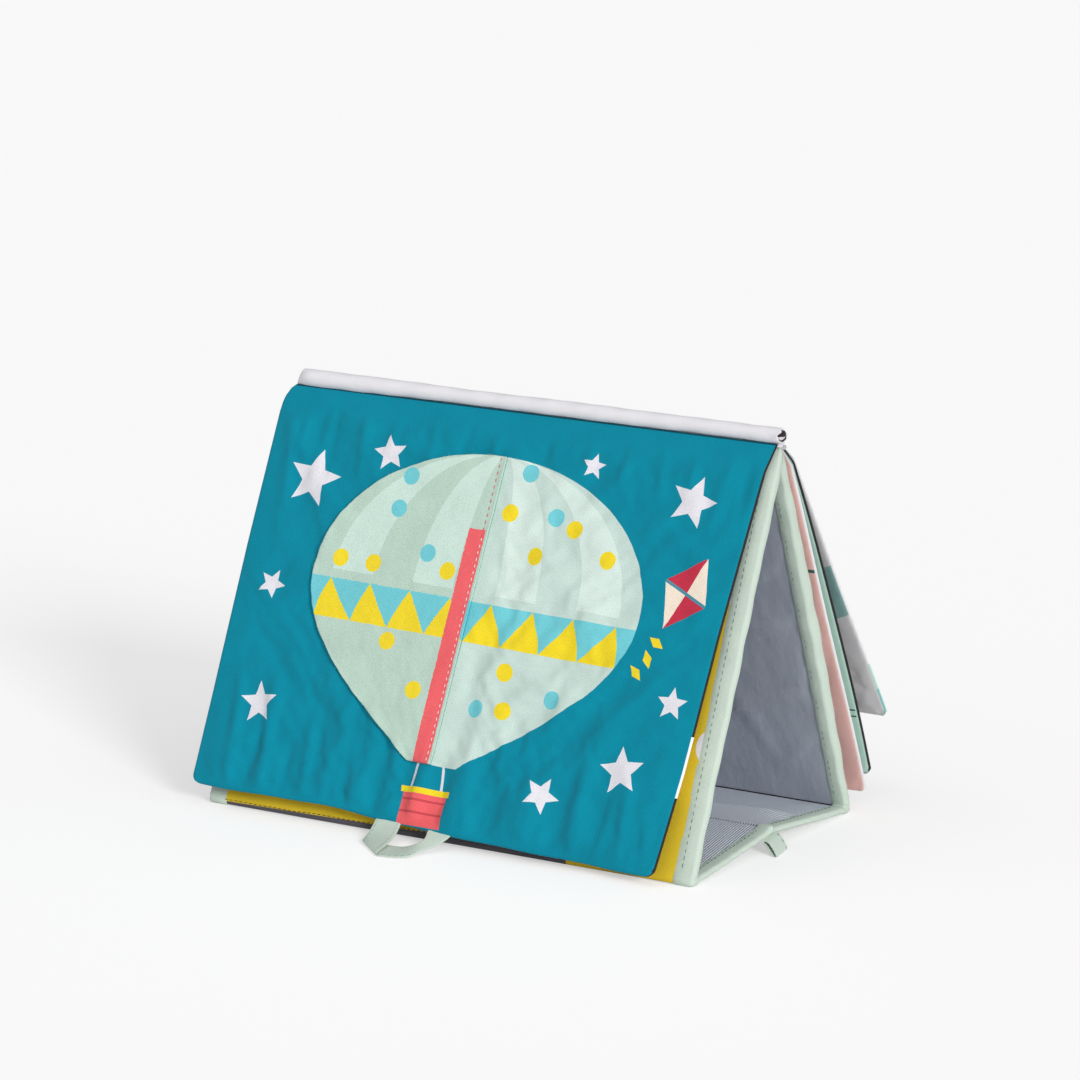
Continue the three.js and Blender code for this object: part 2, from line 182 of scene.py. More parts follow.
# %% Make the floor, the sky and the lamps
def broad_sun(name, towards, strength, softness):
    """A soft sun that stands in a direction. Its softness is how wide it looks, in degrees."""
    data = bpy.data.lights.new(name, "SUN")
    data.energy = strength
    data.angle = math.radians(softness)
    lamp = bpy.data.objects.new(name, data)
    scene.collection.objects.link(lamp)
    lamp.rotation_euler = Vector(towards).to_track_quat("Z", "Y").to_euler()


def pale_sky(level, slope, towards, seen):
    """White light from all round, stronger towards one side. The camera sees one even tone instead."""
    world = bpy.data.worlds.new("pale_studio")
    world.use_nodes = True
    tree = world.node_tree
    sky, sky_seen = tree.nodes["Background"], tree.nodes.new("ShaderNodeBackground")
    sky_seen.inputs["Color"].default_value = (seen, seen, seen, 1)
    sky.inputs["Color"].default_value = (1, 1, 1, 1)
    place = tree.nodes.new("ShaderNodeTexCoord")
    side = tree.nodes.new("ShaderNodeVectorMath")
    side.operation = "DOT_PRODUCT"
    side.inputs[1].default_value = towards
    strength = tree.nodes.new("ShaderNodeMath")
    strength.operation = "MULTIPLY_ADD"
    strength.inputs[1].default_value = slope * level
    strength.inputs[2].default_value = level
    rays, choose = tree.nodes.new("ShaderNodeLightPath"), tree.nodes.new("ShaderNodeMixShader")
    tree.links.new(place.outputs["Generated"], side.inputs[0])
    tree.links.new(side.outputs["Value"], strength.inputs[0])
    tree.links.new(strength.outputs[0], sky.inputs["Strength"])
    tree.links.new(rays.outputs["Is Camera Ray"], choose.inputs[0])
    tree.links.new(sky.outputs[0], choose.inputs[1])
    tree.links.new(sky_seen.outputs[0], choose.inputs[2])
    tree.links.new(choose.outputs[0], tree.nodes["World Output"].inputs["Surface"])
    return world


broad_sun("key_light", towards=(0.84, -0.5, 0.42), strength=1.95, softness=18)
broad_sun("fill_light", towards=(-0.4, -0.6, 0.9), strength=0.3, softness=60)
scene.world = pale_sky(level=0.37, slope=0.75, towards=(0.75, -0.55, 0.35), seen=0.947)


def floor_material(seen, lit, white):
    """A matt sheet. The camera sees it lit from behind as well, which keeps its shadow light."""
    material = bpy.data.materials.new("studio_floor")
    material.use_nodes = True
    tree = material.node_tree
    rays = tree.nodes.new("ShaderNodeLightPath")
    plain, bright = tree.nodes.new("ShaderNodeBsdfDiffuse"), tree.nodes.new("ShaderNodeBsdfDiffuse")
    plain.inputs["Color"].default_value = (lit, lit, lit, 1)
    bright.inputs["Color"].default_value = (seen, seen, seen, 1)
    glow = tree.nodes.new("ShaderNodeEmission")
    glow.inputs["Color"].default_value = (white, white, white, 1)
    both, pick = tree.nodes.new("ShaderNodeMixShader"), tree.nodes.new("ShaderNodeMixShader")
    both.inputs[0].default_value = 0.5
    watched = tree.nodes.new("ShaderNodeMath")
    watched.operation = "MAXIMUM"
    tree.links.new(rays.outputs["Is Camera Ray"], watched.inputs[0])
    tree.links.new(rays.outputs["Is Glossy Ray"], watched.inputs[1])
    tree.links.new(bright.outputs[0], both.inputs[1])
    tree.links.new(glow.outputs[0], both.inputs[2])
    tree.links.new(watched.outputs[0], pick.inputs[0])
    tree.links.new(plain.outputs[0], pick.inputs[1])
    tree.links.new(both.outputs[0], pick.inputs[2])
    tree.links.new(pick.outputs[0], tree.nodes["Material Output"].inputs["Surface"])
    return material


floor_mesh = bpy.data.meshes.new("floor")
far = 30.0
floor_mesh.from_pydata(
    [(-far, -far, 0), (far, -far, 0), (far, far, 0), (-far, far, 0)], [], [(0, 1, 2, 3)]
)
floor_mesh.materials.append(floor_material(seen=1.24, lit=0.9, white=0.95))
floor = bpy.data.objects.new("floor", floor_mesh)
scene.collection.objects.link(floor)
floor.location.z = -0.2 * MM

# %% [markdown]
# ## Numbers that draw
# A print is drawn by arithmetic on the cloth's own coordinates. In a material that arithmetic is made
# of Math nodes, which are slow to wire up by hand. `Number` wraps a socket so that plain sums and
# comparisons make the nodes: `x * x + y * y < 9` is a disc of radius 3.


# %% Sums and comparisons on shader sockets
class Number:
    """A socket of a shader tree that adds, multiplies and compares like a number."""

    def __init__(self, tree, socket):
        self.tree, self.socket = tree, socket

    def node(self, operation, *others, clamp=False):
        maths = self.tree.nodes.new("ShaderNodeMath")
        maths.operation = operation
        maths.use_clamp = clamp
        for slot, value in zip(maths.inputs, (self, *others)):
            if isinstance(value, Number):
                self.tree.links.new(value.socket, slot)
            else:
                slot.default_value = value
        return Number(self.tree, maths.outputs[0])

    def __add__(self, other):
        return self.node("ADD", other)

    def __sub__(self, other):
        return self.node("SUBTRACT", other)

    def __mul__(self, other):
        return self.node("MULTIPLY", other)

    def __truediv__(self, other):
        return self.node("DIVIDE", other)

    def __lt__(self, other):
        return self.node("LESS_THAN", other)

    def __gt__(self, other):
        return self.node("GREATER_THAN", other)

    def __and__(self, other):
        return self.node("MULTIPLY", other)

    def __or__(self, other):
        return self.node("MAXIMUM", other)

    def __abs__(self):
        return self.node("ABSOLUTE")

    def sine(self):
        return self.node("SINE")

    def wrapped(self, size):
        """The distance into a repeat of this size, from 0 up to the size."""
        return self.node("FLOORED_MODULO", size)


def linear(code):
    """A colour written as on a screen, such as "0A93AE", as Blender's linear numbers."""
    parts = [int(code[i : i + 2], 16) / 255 for i in (0, 2, 4)]
    return [p / 12.92 if p <= 0.04045 else ((p + 0.055) / 1.055) ** 2.4 for p in parts] + [1.0]


# %% [markdown]
# ## Cloth
# Every cloth here is a close weave seen from a step away. What tells it from painted board is small:
# the lines of the weave in the light, a little unevenness in the dye, soft sheen at grazing angles. The
# pieces carry their own coordinates in a UV map named `cloth`, a tenth of a metre to the unit, so that
# a print bends and turns with its page.

# %% A cloth's coordinates and its drawing
CLOTH_MAP = "cloth"
UV_SCALE = 100.0


class Drawing:
    """The colour of a cloth: a ground, and shapes laid on it one after the other."""

    def __init__(self, material, ground):
        self.tree = material.node_tree
        uv = self.tree.nodes.new("ShaderNodeUVMap")
        uv.uv_map = CLOTH_MAP
        parts = self.tree.nodes.new("ShaderNodeSeparateXYZ")
        self.tree.links.new(uv.outputs[0], parts.inputs[0])
        self.uv = uv.outputs[0]
        self.x = Number(self.tree, parts.outputs[0]) * UV_SCALE
        self.y = Number(self.tree, parts.outputs[1]) * UV_SCALE
        self.colour = self.tree.nodes.new("ShaderNodeRGB").outputs[0]
        self.colour.default_value = linear(ground)

    def noise(self, per_metre, detail=2.0, stretch=(1, 1, 1)):
        """Smooth random values from 0 to 1 over the cloth."""
        place = self.tree.nodes.new("ShaderNodeMapping")
        place.inputs["Scale"].default_value = [s * per_metre / 10 for s in stretch]
        noise = self.tree.nodes.new("ShaderNodeTexNoise")
        noise.inputs["Scale"].default_value = 1.0
        noise.inputs["Detail"].default_value = detail
        self.tree.links.new(self.uv, place.inputs[0])
        self.tree.links.new(place.outputs[0], noise.inputs["Vector"])
        return Number(self.tree, noise.outputs[0])

    def paint(self, where, code):
        """Lays a colour where a test holds. A test gives 1 inside the shape and 0 outside."""
        mix = self.tree.nodes.new("ShaderNodeMix")
        mix.data_type = "RGBA"
        self.tree.links.new(where.socket, mix.inputs[0])
        self.tree.links.new(self.colour, mix.inputs[6])
        mix.inputs[7].default_value = linear(code)
        self.colour = mix.outputs[2]

    def turned(self, x, y, turn):
        """Coordinates from a point, turned by an angle in degrees."""
        c, s = math.cos(math.radians(turn)), math.sin(math.radians(turn))
        dx, dy = self.x - x, self.y - y
        return dx * c + dy * s, dy * c - dx * s

    def box(self, x, y, width, height, turn=0.0):
        across, down = self.turned(x, y, turn)
        return (abs(across) < width / 2) & (abs(down) < height / 2)

    def disc(self, x, y, radius):
        dx, dy = self.x - x, self.y - y
        return (dx * dx + dy * dy) < radius * radius

    def diamond(self, x, y, half_width, half_height, turn=0.0):
        across, down = self.turned(x, y, turn)
        return (abs(across) / half_width + abs(down) / half_height) < 1.0

    def star(self, x, y, radius, turn=0.0, arms=5, waist=0.45):
        """A star with straight edges between its points and its waist."""
        across, down = self.turned(x, y, turn)
        half = math.pi / arms
        angle = across.node("ARCTAN2", down).wrapped(2 * half)
        off = abs(angle - half)
        reach = (across * across + down * down).node("SQRT")
        inner = radius * waist
        edge = off.sine() * radius + (off * -1.0 + half).sine() * inner
        return reach < (edge.node("POWER", -1.0) * (radius * inner * math.sin(half)))

    def spots(self, spacing, radius, seed=0.0, spread=0.8):
        """Round spots, one in each cell of a jittered grid: a test, and a random number for each spot.
        The place of each spot's middle is kept, so that a print can leave out the spots it would cut."""
        place = self.tree.nodes.new("ShaderNodeMapping")
        place.inputs["Location"].default_value = (seed, seed * 0.7, 0)
        cells = self.tree.nodes.new("ShaderNodeTexVoronoi")
        cells.voronoi_dimensions = "2D"
        cells.inputs["Scale"].default_value = UV_SCALE / spacing
        cells.inputs["Randomness"].default_value = spread
        self.tree.links.new(self.uv, place.inputs[0])
        self.tree.links.new(place.outputs[0], cells.inputs["Vector"])
        parts = self.tree.nodes.new("ShaderNodeSeparateXYZ")
        self.tree.links.new(cells.outputs["Color"], parts.inputs[0])
        middle = self.tree.nodes.new("ShaderNodeSeparateXYZ")
        self.tree.links.new(cells.outputs["Position"], middle.inputs[0])
        self.spot_x = (Number(self.tree, middle.outputs[0]) - seed) * UV_SCALE
        self.spot_y = (Number(self.tree, middle.outputs[1]) - seed * 0.7) * UV_SCALE
        inside = Number(self.tree, cells.outputs["Distance"]) < radius / spacing
        return inside, Number(self.tree, parts.outputs[0])


# %% The finish of a cloth
def cloth_material(
    name, ground, thread=0.6, relief=0.035, roughness=0.8, sheen=0.05, uneven=0.06, print_on=None,
    twill=1.0, weave=0.02, creases=0.25, crease_stretch=(1, 1, 1), shine=0.2,
):
    """A woven cloth with an optional print. thread is the distance in millimetres between the lines of
    the weave, relief their height and weave their contrast. twill slants the lines, and creases is the
    height of the faint crumpling that a shape doesn't carry."""
    material = bpy.data.materials.new(name)
    material.use_nodes = True
    drawing = Drawing(material, ground)
    if print_on:
        print_on(drawing)
    tree = drawing.tree
    shade = drawing.noise(60, 3.0)
    grain = drawing.noise(1500, 2.0)
    lines = ((drawing.x * twill + drawing.y) * (2 * math.pi / thread)).sine()
    tone = (shade - 0.5) * uneven + (grain - 0.5) * (uneven * 1.6) + lines * weave + 1.0
    scale = tree.nodes.new("ShaderNodeVectorMath")
    scale.operation = "SCALE"
    tree.links.new(drawing.colour, scale.inputs[0])
    tree.links.new(tone.socket, scale.inputs["Scale"])
    crumple = (drawing.noise(90, 4.0, crease_stretch) - 0.5) * creases
    bump = tree.nodes.new("ShaderNodeBump")
    bump.inputs["Strength"].default_value = 1.0
    bump.inputs["Distance"].default_value = MM
    height = lines * (relief / 2) + grain * (relief * 1.5) + crumple
    tree.links.new(height.socket, bump.inputs["Height"])
    surface = tree.nodes["Principled BSDF"]
    tree.links.new(scale.outputs[0], surface.inputs["Base Color"])
    tree.links.new(bump.outputs[0], surface.inputs["Normal"])
    surface.inputs["Roughness"].default_value = roughness
    surface.inputs["Sheen Weight"].default_value = sheen
    surface.inputs["Sheen Roughness"].default_value = 0.5
    surface.inputs["Specular IOR Level"].default_value = shine
    return material


# %% [markdown]
# ## The balloon
# The front page shows one big picture that a flap opens: half of a hot-air balloon is printed on the
# page, and the other half is a felt flap sewn on along the balloon's middle line. One rule gives the
# balloon's half width at each height, for the flap's outline and for the prints on both. The prints
# share a few inks, which are named first.

# %% The inks
SUN, CORAL, AQUA, SEA = "F2D82B", "F0656A", "72CBD5", "9CCAC6"
CLOUD, WHITE, BLACK, SLATE = "E3E1E8", "EDECEE", "2A292C", "57545A"

# %% The balloon's outline
flap_x, flap_drop = -6.0, 25.0
flap_lean = math.radians(1.3)
flap_reach, flap_height, flap_shoulder, flap_mouth = 84.0, 140.0, 62.0, 13.0
flap_thick = 1.2
gores_end, band_top, band_bottom = 62.0, 66.0, 84.0


def balloon_half_width(v):
    """The balloon's half width at a distance v below its top."""
    top = flap_reach * np.sqrt(np.clip(1 - ((flap_shoulder - v) / flap_shoulder) ** 2, 0, 1))
    t = np.linspace(0, 1, 60)
    tail = flap_height - flap_shoulder
    xs = np.array([flap_reach, flap_reach, 0.45 * flap_reach, flap_mouth])
    ys = flap_shoulder + np.array([0, 0.45 * tail, 0.75 * tail, tail])
    weights = np.stack([(1 - t) ** 3, 3 * t * (1 - t) ** 2, 3 * t * t * (1 - t), t**3])
    return np.where(v < flap_shoulder, top, np.interp(v, ys @ weights, xs @ weights))


def balloon_print(drawing, side):
    """Draws the balloon's canvas on one side of its middle line, -1 for the flap and 1 for the page, and
    returns the places across from that line and down from the top. Felt takes ink with a rough edge."""
    c, s = math.cos(flap_lean), math.sin(flap_lean)
    x, y = drawing.x, drawing.y

    def from_top(x, y):
        """A place on the page, measured from the balloon's top and along its leaning middle."""
        dx, dy = x - flap_x, y - flap_drop
        return dx * c + dy * s, dy * c - dx * s

    def width_at(y):
        """The balloon's half width, as a number in the shader."""
        curve = drawing.tree.nodes.new("ShaderNodeFloatCurve")
        points = curve.mapping.curves[0].points
        heights = np.linspace(0, 1, 25) ** 1.6
        for i, h in enumerate(heights):
            width = float(balloon_half_width(h * flap_height)) / UV_SCALE
            if i in (0, len(heights) - 1):
                points[0 if i == 0 else -1].location = (h, width)
            else:
                points.new(h, width)
        curve.mapping.update()
        share = (y / flap_height).node("MULTIPLY", 1.0, clamp=True)
        drawing.tree.links.new(share.socket, curve.inputs["Value"])
        return Number(drawing.tree, curve.outputs[0]) * UV_SCALE

    if side > 0:
        x, y = from_top(x, y)
    else:
        x = x + (drawing.noise(900, 1.0) - 0.5) * 0.9
        y = y + (drawing.noise(900, 1.0, (1, -1, 1)) - 0.5) * 0.9
    across = abs(x) / width_at(y)
    inside = (across < 1.0) & (y > 0.0) & (y < flap_height)
    if side > 0:
        inside = inside & (x > 0.0)
        drawing.paint(inside, "C6DBD3")
    band = (y > band_top) & (y < band_bottom)
    zigzag = abs((across * 4.0).wrapped(1.0) - 0.5) * (2 * (band_bottom - band_top)) + band_top
    gore = abs(across.wrapped(0.5) - 0.25) < 0.125
    drawing.paint(inside & gore & (y < gores_end), "CBE3D8" if side < 0 else "D6E8E0")
    drawing.paint(inside & band & (y < zigzag), AQUA)
    drawing.paint(inside & band & (y > zigzag), SUN)
    dots, pick = drawing.spots(18.0, 4.0, seed=0.37, spread=0.6)
    spot_x, spot_y = drawing.spot_x, drawing.spot_y
    if side > 0:
        spot_x, spot_y = from_top(spot_x, spot_y)
    room = 5.0
    clear = (spot_y < gores_end - room) | (spot_y > band_bottom + room)
    clear = clear & (spot_y < flap_height - 7.0) & (abs(spot_x) > room)
    dots = dots & inside & clear & (abs(spot_x) < width_at(spot_y) * 0.88)
    drawing.paint(dots & (pick < 0.42), SUN)
    drawing.paint(dots & (pick > 0.62), AQUA)
    return x, y


def front_page_print(drawing):
    """The teal page: balloon, basket, stars and a kite. The strip along its top, where it goes in under
    the roll, is painted dark as painted shade of the roll's seam."""
    balloon_print(drawing, 1)
    # painted shade: a dark band along the page's top, where it goes in under the roll
    drawing.paint(drawing.y < 4.5, "0C4655")
    basket_x, basket_width = -9.5, 23.0
    for side in (-1, 1):
        drawing.paint(drawing.box(basket_x + 7.0 * side, 170.5, 1.3, 11.5, -6 * side), CLOUD)
    drawing.paint(drawing.box(basket_x, 184.5, basket_width, 16), CORAL)
    for row in (181.0, 186.5):
        drawing.paint(drawing.box(basket_x, row, basket_width, 1.0), "C94C56")
    drawing.paint(drawing.box(basket_x, 176.8, 26, 2.6), SUN)
    for x, y, radius, turn in (
        (-103, 46, 14, 8), (-66, 30, 8.5, -12), (-112, 96, 7, 20), (-104, 150, 10, -8),
        (90, 34, 12, 14), (101, 122, 7.5, 0), (48, 170, 8.5, 24), (84, 154, 11, -10), (38, 24, 6, 5),
    ):
        drawing.paint(drawing.star(x, y, radius, turn), CLOUD)
    kite_x, kite_y, kite_turn = 96.0, 74.0, 24.0
    kite = drawing.diamond(kite_x, kite_y, 12, 18, kite_turn)
    across, down = drawing.turned(kite_x, kite_y, kite_turn)
    drawing.paint(kite, "F3E3D2")
    drawing.paint(kite & ((across * down) > 0.0), "C5344A")
    drawing.paint(kite & (abs(down) < 0.7), "4E8FA3")
    for x, y, turn in ((87.5, 97, 30), (84.5, 104.5, 70), (80, 111, 45)):
        drawing.paint(drawing.diamond(x, y, 4.2, 2.2, turn), SUN)


def flap_print(drawing):
    """The felt half, with the coral stripe that runs down beside its seam."""
    x, y = balloon_print(drawing, -1)
    stripe = (x > -9.5) & (x < -1.0) & (y > 34.0)
    drawing.paint(stripe, CORAL)


# %% The prints of the walls
foot_slope, foot_edge = 0.015, 3.9


def wall_print(drawing):
    """The front wall's cloth: yellow, with a dark strip at the foot and plain blocks above it."""
    drawing.paint(drawing.disc(-70, 34, 15), CLOUD)
    drawing.paint((drawing.x > -14.0) & (drawing.x < 58.0) & (drawing.y < 26.0), "B3AA9E")
    drawing.paint(drawing.box(8, 8, 14, 20, 20) | drawing.box(40, 4, 16, 18, -12), SLATE)
    edge = drawing.x * foot_slope + foot_edge
    drawing.paint((drawing.y < edge) & (drawing.x < 62.0), SLATE)
    dots, pick = drawing.spots(34.0, 8.0, seed=0.2, spread=0.4)
    high = drawing.y > 43.8
    drawing.paint(dots & high & (pick < 0.5), CLOUD)
    drawing.paint(dots & high & (pick > 0.5), "4E4B4D")


def rear_wall_print(drawing):
    """White dots on the dark grey of the rear wall. The floor's underside stays plain."""
    dots, _ = drawing.spots(24.0, 4.0, seed=0.5, spread=0.0)
    drawing.paint(dots & (drawing.y > 6.0), "D8D6D8")


# %% The prints of the pages and of the roll's filling
def rings_print(drawing):
    """Black cloth with white rings and bars, for young eyes."""
    for x, y in ((-72, 62), (0, 112), (72, 62)):
        for radius, ink in ((30, WHITE), (21, BLACK), (11, WHITE)):
            drawing.paint(drawing.disc(x, y, radius), ink)
    bars = (drawing.y > 158.0) & (drawing.x.wrapped(24.0) < 12.0) & (abs(drawing.x) < 100.0)
    drawing.paint(bars, WHITE)


def contrast_print(drawing):
    """The front page's back: the rings, and a white patch that comes round its right edge."""
    rings_print(drawing)
    drawing.paint(drawing.box(114, 148, 30, 27), WHITE)


def pink_print(drawing):
    """Pink with short dark green dashes and a scatter of pale dots."""
    dots, pick = drawing.spots(30.0, 5.0, seed=0.1, spread=0.3)
    whole = (drawing.x > -110.5) & (drawing.x < 99.5)
    drawing.paint(dots & whole & (pick < 0.6), "FCE2DD")
    dashes = (120, 74), (84, 110), (30, 66), (-36, 96), (-90, 60), (-70, 150), (14, 150), (70, 40)
    for x, y in dashes:
        drawing.paint(drawing.box(x, y, 11, 1.8), "3E6B5A")


def mint_print(drawing):
    """Mint with thin dark lines and a row of pale hoops."""
    for y in (158.0, 161.5):
        drawing.paint(drawing.box(0, y, 246, 0.8), "37524D")
    for x in range(-96, 100, 32):
        drawing.paint(drawing.disc(x, 90, 11), CLOUD)
        drawing.paint(drawing.disc(x, 90, 7), "7EC0B2")


def pale_print(drawing):
    """Pale grey with a broad aqua wave and a yellow disc above it."""
    wave = (drawing.x * (2 * math.pi / 82.0)).sine() * 7.0
    drawing.paint((drawing.y > wave + 84.0) & (drawing.y < wave + 116.0), SEA)
    drawing.paint(drawing.disc(-60, 44, 16), SUN)


def dotted_print(drawing):
    """White with a scatter of aqua dots away from the edges."""
    dots, _ = drawing.spots(26.0, 5.0, seed=0.8, spread=0.4)
    whole = (drawing.x > -113.8) & (drawing.x < 120.2) & (drawing.y < 170.2)
    drawing.paint(dots & whole, SEA)


def filling_print(drawing):
    """Scraps of white in a dark filling."""
    scraps, pick = drawing.spots(3.2, 1.3, seed=0.6)
    drawing.paint(scraps & (pick < 0.45), "DAD6D6")


def outside_print(drawing):
    """The outermost page's back: white, with coral, yellow and aqua sails over two rows of waves."""
    for x, ink in ((-80, "F9696E"), (0, AQUA), (80, SUN)):
        drawing.paint(drawing.diamond(x, 84, 26, 40), ink)
        drawing.paint(drawing.box(x, 84, 1.6, 80), "F0EFF2")
        drawing.paint(drawing.box(x, 128, 1.6, 8), SLATE)
        drawing.paint(drawing.disc(x, 118, 27) & (drawing.y > 132.0), SLATE)
    swell = (drawing.x * (2 * math.pi / 31.0)).sine() * 2.6
    drawing.paint(drawing.y > swell + 150.0, "BFE2D3")
    drawing.paint(drawing.y > swell * -1.0 + 165.0, "8CC9C4")


# %% Mix the cloths
paint = {
    "teal": cloth_material(
        "teal_print", "00879F", thread=1.25, weave=0.09, uneven=0.24, creases=0.5, shine=0.12,
        print_on=front_page_print,
    ),
    "contrast": cloth_material("contrast_print", BLACK, print_on=contrast_print),
    "rings": cloth_material("rings_print", BLACK, print_on=rings_print),
    "dotted": cloth_material("dotted_print", "E6E4E7", print_on=dotted_print),
    "yellow": cloth_material("yellow_print", "E0C12C", print_on=wall_print),
    "under": cloth_material("dark_grey_cloth", SLATE, roughness=0.85, uneven=0.12),
    "rear_wall": cloth_material("dotted_grey_cloth", SLATE, print_on=rear_wall_print, roughness=0.85),
    "mint": cloth_material(
        "mint_tape", "C6D5C8", thread=0.7, twill=0.0, relief=0.06, weave=0.04, uneven=0.1, creases=0.6,
    ),
    "lining": cloth_material(
        "grey_lining", "A2A8B4", thread=0.3, relief=0.012, weave=0.0, roughness=0.36, uneven=0.05,
        creases=1.5, crease_stretch=(0.7, 0.35, 1), shine=0.5,
    ),
    "floor_lining": cloth_material(
        "ribbed_lining", "CDD4DE", thread=15.0, twill=12.0, relief=0.36, weave=0.13, roughness=0.5,
    ),
    "white": cloth_material("white_cloth", "E8E6EA", relief=0.03, uneven=0.03, creases=0.6),
    "filling": cloth_material("roll_filling_cloth", BLACK, relief=0.08, print_on=filling_print),
    "pink": cloth_material("pink_print", "F6C6C0", print_on=pink_print),
    "mint_page": cloth_material("mint_print", "BFE2D3", print_on=mint_print),
    "pale": cloth_material("pale_print", "F3F1F3", print_on=pale_print),
    "outside": cloth_material("sail_print", "F0EFF2", print_on=outside_print),
    "felt": cloth_material(
        "printed_felt", "BAD3C5", thread=0.9, twill=-0.6, relief=0.05, weave=0.0, roughness=0.95,
        sheen=0.12, uneven=0.2, creases=0.5, print_on=flap_print,
    ),
}
print("cloths:", len(paint))

# %% [markdown]
# ## Meshes
# Every piece of cloth is a closed body, however thin: a front surface, a back surface and a rim. Both
# surfaces are grids of points, which numpy fills by rule, and `slab` sews them together.


# %% Make a mesh from grids of points
def finish_mesh(name, points, faces, materials, face_slots, uvs, sharp=50.0):
    """A linked object from points in millimetres. uvs holds one pair for each point, in millimetres."""
    mesh = bpy.data.meshes.new(name)
    mesh.from_pydata((np.asarray(points) * MM).tolist(), [], [tuple(map(int, f)) for f in faces])
    for material in materials:
        mesh.materials.append(material)
    mesh.polygons.foreach_set("material_index", np.asarray(face_slots, np.int32))
    layer = mesh.uv_layers.new(name=CLOTH_MAP)
    corners = np.zeros(len(mesh.loops), np.int32)
    mesh.loops.foreach_get("vertex_index", corners)
    layer.data.foreach_set("uv", (np.asarray(uvs)[corners] / UV_SCALE).astype(np.float32).ravel())
    bm = bmesh.new()
    bm.from_mesh(mesh)
    bmesh.ops.recalc_face_normals(bm, faces=bm.faces)
    bm.to_mesh(mesh)
    bm.free()
    mesh.shade_smooth()
    mesh.set_sharp_from_angle(angle=math.radians(sharp))
    piece = bpy.data.objects.new(name, mesh)
    scene.collection.objects.link(piece)
    return piece


def grid_faces(rows, columns, start=0):
    """Four-sided faces of a grid whose points are numbered row by row."""
    first = np.arange(rows - 1)[:, None] * columns + np.arange(columns - 1)[None] + start
    return np.stack([first, first + 1, first + columns + 1, first + columns], -1).reshape(-1, 4)


def grid_border(rows, columns):
    """The numbers of a grid's outer points, once round."""
    return np.concatenate(
        [
            np.arange(columns),
            np.arange(1, rows) * columns + columns - 1,
            (rows - 1) * columns + np.arange(columns - 2, -1, -1),
            np.arange(rows - 2, 0, -1) * columns,
        ]
    )


def tube_faces(rows, columns):
    """Faces of a tube made of closed rings, with a lid at each end."""
    first = np.arange(rows - 1)[:, None] * columns + np.arange(columns)[None]
    after = np.arange(rows - 1)[:, None] * columns + (np.arange(columns)[None] + 1) % columns
    faces = np.stack([first, after, after + columns, first + columns], -1).reshape(-1, 4).tolist()
    return [*faces, list(range(columns)), list(range((rows - 1) * columns, rows * columns))]


def slab(name, front, back, uv, materials, rim_slot=0, sharp=50.0, row_slots=None, near_slots=None):
    """A closed piece between two grids of points. materials are those of the front and the back.
    row_slots, where given, picks the front's and back's material for each row of faces, and near_slots
    says for each point whether the front's faces there take the second material."""
    rows, columns = front.shape[:2]
    count = rows * columns
    near = grid_faces(rows, columns)
    far = near[:, ::-1] + count
    border = grid_border(rows, columns)
    after = np.roll(border, -1)
    rim = np.stack([after, border, border + count, after + count], -1)
    if row_slots is None:
        near_face = np.zeros(len(near))
        far_face = np.full(len(far), len(materials) - 1)
    else:
        near_face = far_face = np.repeat(row_slots, columns - 1)
    if near_slots is not None:
        near_face = (near_slots[:-1, :-1] & near_slots[1:, 1:]).ravel().astype(float)
    slots = np.concatenate([near_face, far_face, np.full(len(rim), rim_slot)])
    points = np.concatenate([front.reshape(-1, 3), back.reshape(-1, 3)])
    flat = uv.reshape(-1, 2)
    faces = np.concatenate([near, far, rim])
    return finish_mesh(name, points, faces, materials, slots, np.concatenate([flat, flat]), sharp)


def eased(count, low, high, edge=6.0, finest=0.35):
    """Positions from low to high that crowd together towards both ends, where a rim curves."""
    steps = [0.0]
    step = finest
    while steps[-1] < edge:
        steps.append(steps[-1] + step)
        step *= 1.35
    near = np.array(steps)
    middle = np.linspace(low + near[-1], high - near[-1], count)
    return np.concatenate([low + near[:-1], middle, (high - near[:-1])[::-1]])


# %% [markdown]
# Soft things are never quite flat. Two rules bend them: `folds` raises a soft ridge along each of a
# list of lines, as a hand would press them in, and `ripple` adds broad unevenness from a few long waves.


# %% Folds and ripples
def folds(x, y, lines):
    """Height of soft folds. Each line is (x0, y0, x1, y1, width, height) and fades at both ends."""
    total = np.zeros(np.broadcast(x, y).shape)
    for x0, y0, x1, y1, width, height in lines:
        dx, dy = x1 - x0, y1 - y0
        t = np.clip(((x - x0) * dx + (y - y0) * dy) / (dx * dx + dy * dy), 0, 1)
        off = np.hypot(x - x0 - t * dx, y - y0 - t * dy)
        total += height * np.exp(-((off / width) ** 2)) * np.sin(math.pi * (0.12 + 0.76 * t)) ** 0.7
    return total


def ripple(x, y, seed, wavelength, height):
    """A smooth random surface made of seven waves of about one length."""
    random = np.random.default_rng(seed)
    total = np.zeros(np.broadcast(x, y).shape)
    for _ in range(7):
        turn, phase = random.uniform(0, 2 * math.pi, 2)
        length = wavelength * random.uniform(0.7, 1.5)
        total += np.sin((x * math.cos(turn) + y * math.sin(turn)) * 2 * math.pi / length + phase)
    return total * height / 7**0.5 / 1.4


# %% [markdown]
# ## The tent's outer cloth
# One length of cloth covers the outside of a wall, turns under its foot and runs on below the floor to
# the crease. It bends where the wall and the floor are hinged, so the piece follows the wall before the
# foot and the floor after it.


# %% The way down a wall, round its foot and along the floor
def round_foot(steps=9):
    """Outside of the bend at the foot, from 4 mm up the wall to 5 mm along the floor."""
    start, corner, flat = wall_at(4.0, 0), np.array([foot_y, 0.0]), np.array([foot_y + 3.4, 0.02])
    t = np.linspace(0, 1, steps)[1:, None]
    bend = start * (1 - t) ** 2 + 2 * t * (1 - t) * corner + t * t * flat
    return np.concatenate([bend, [[foot_y + 4.9, 0.1]]])


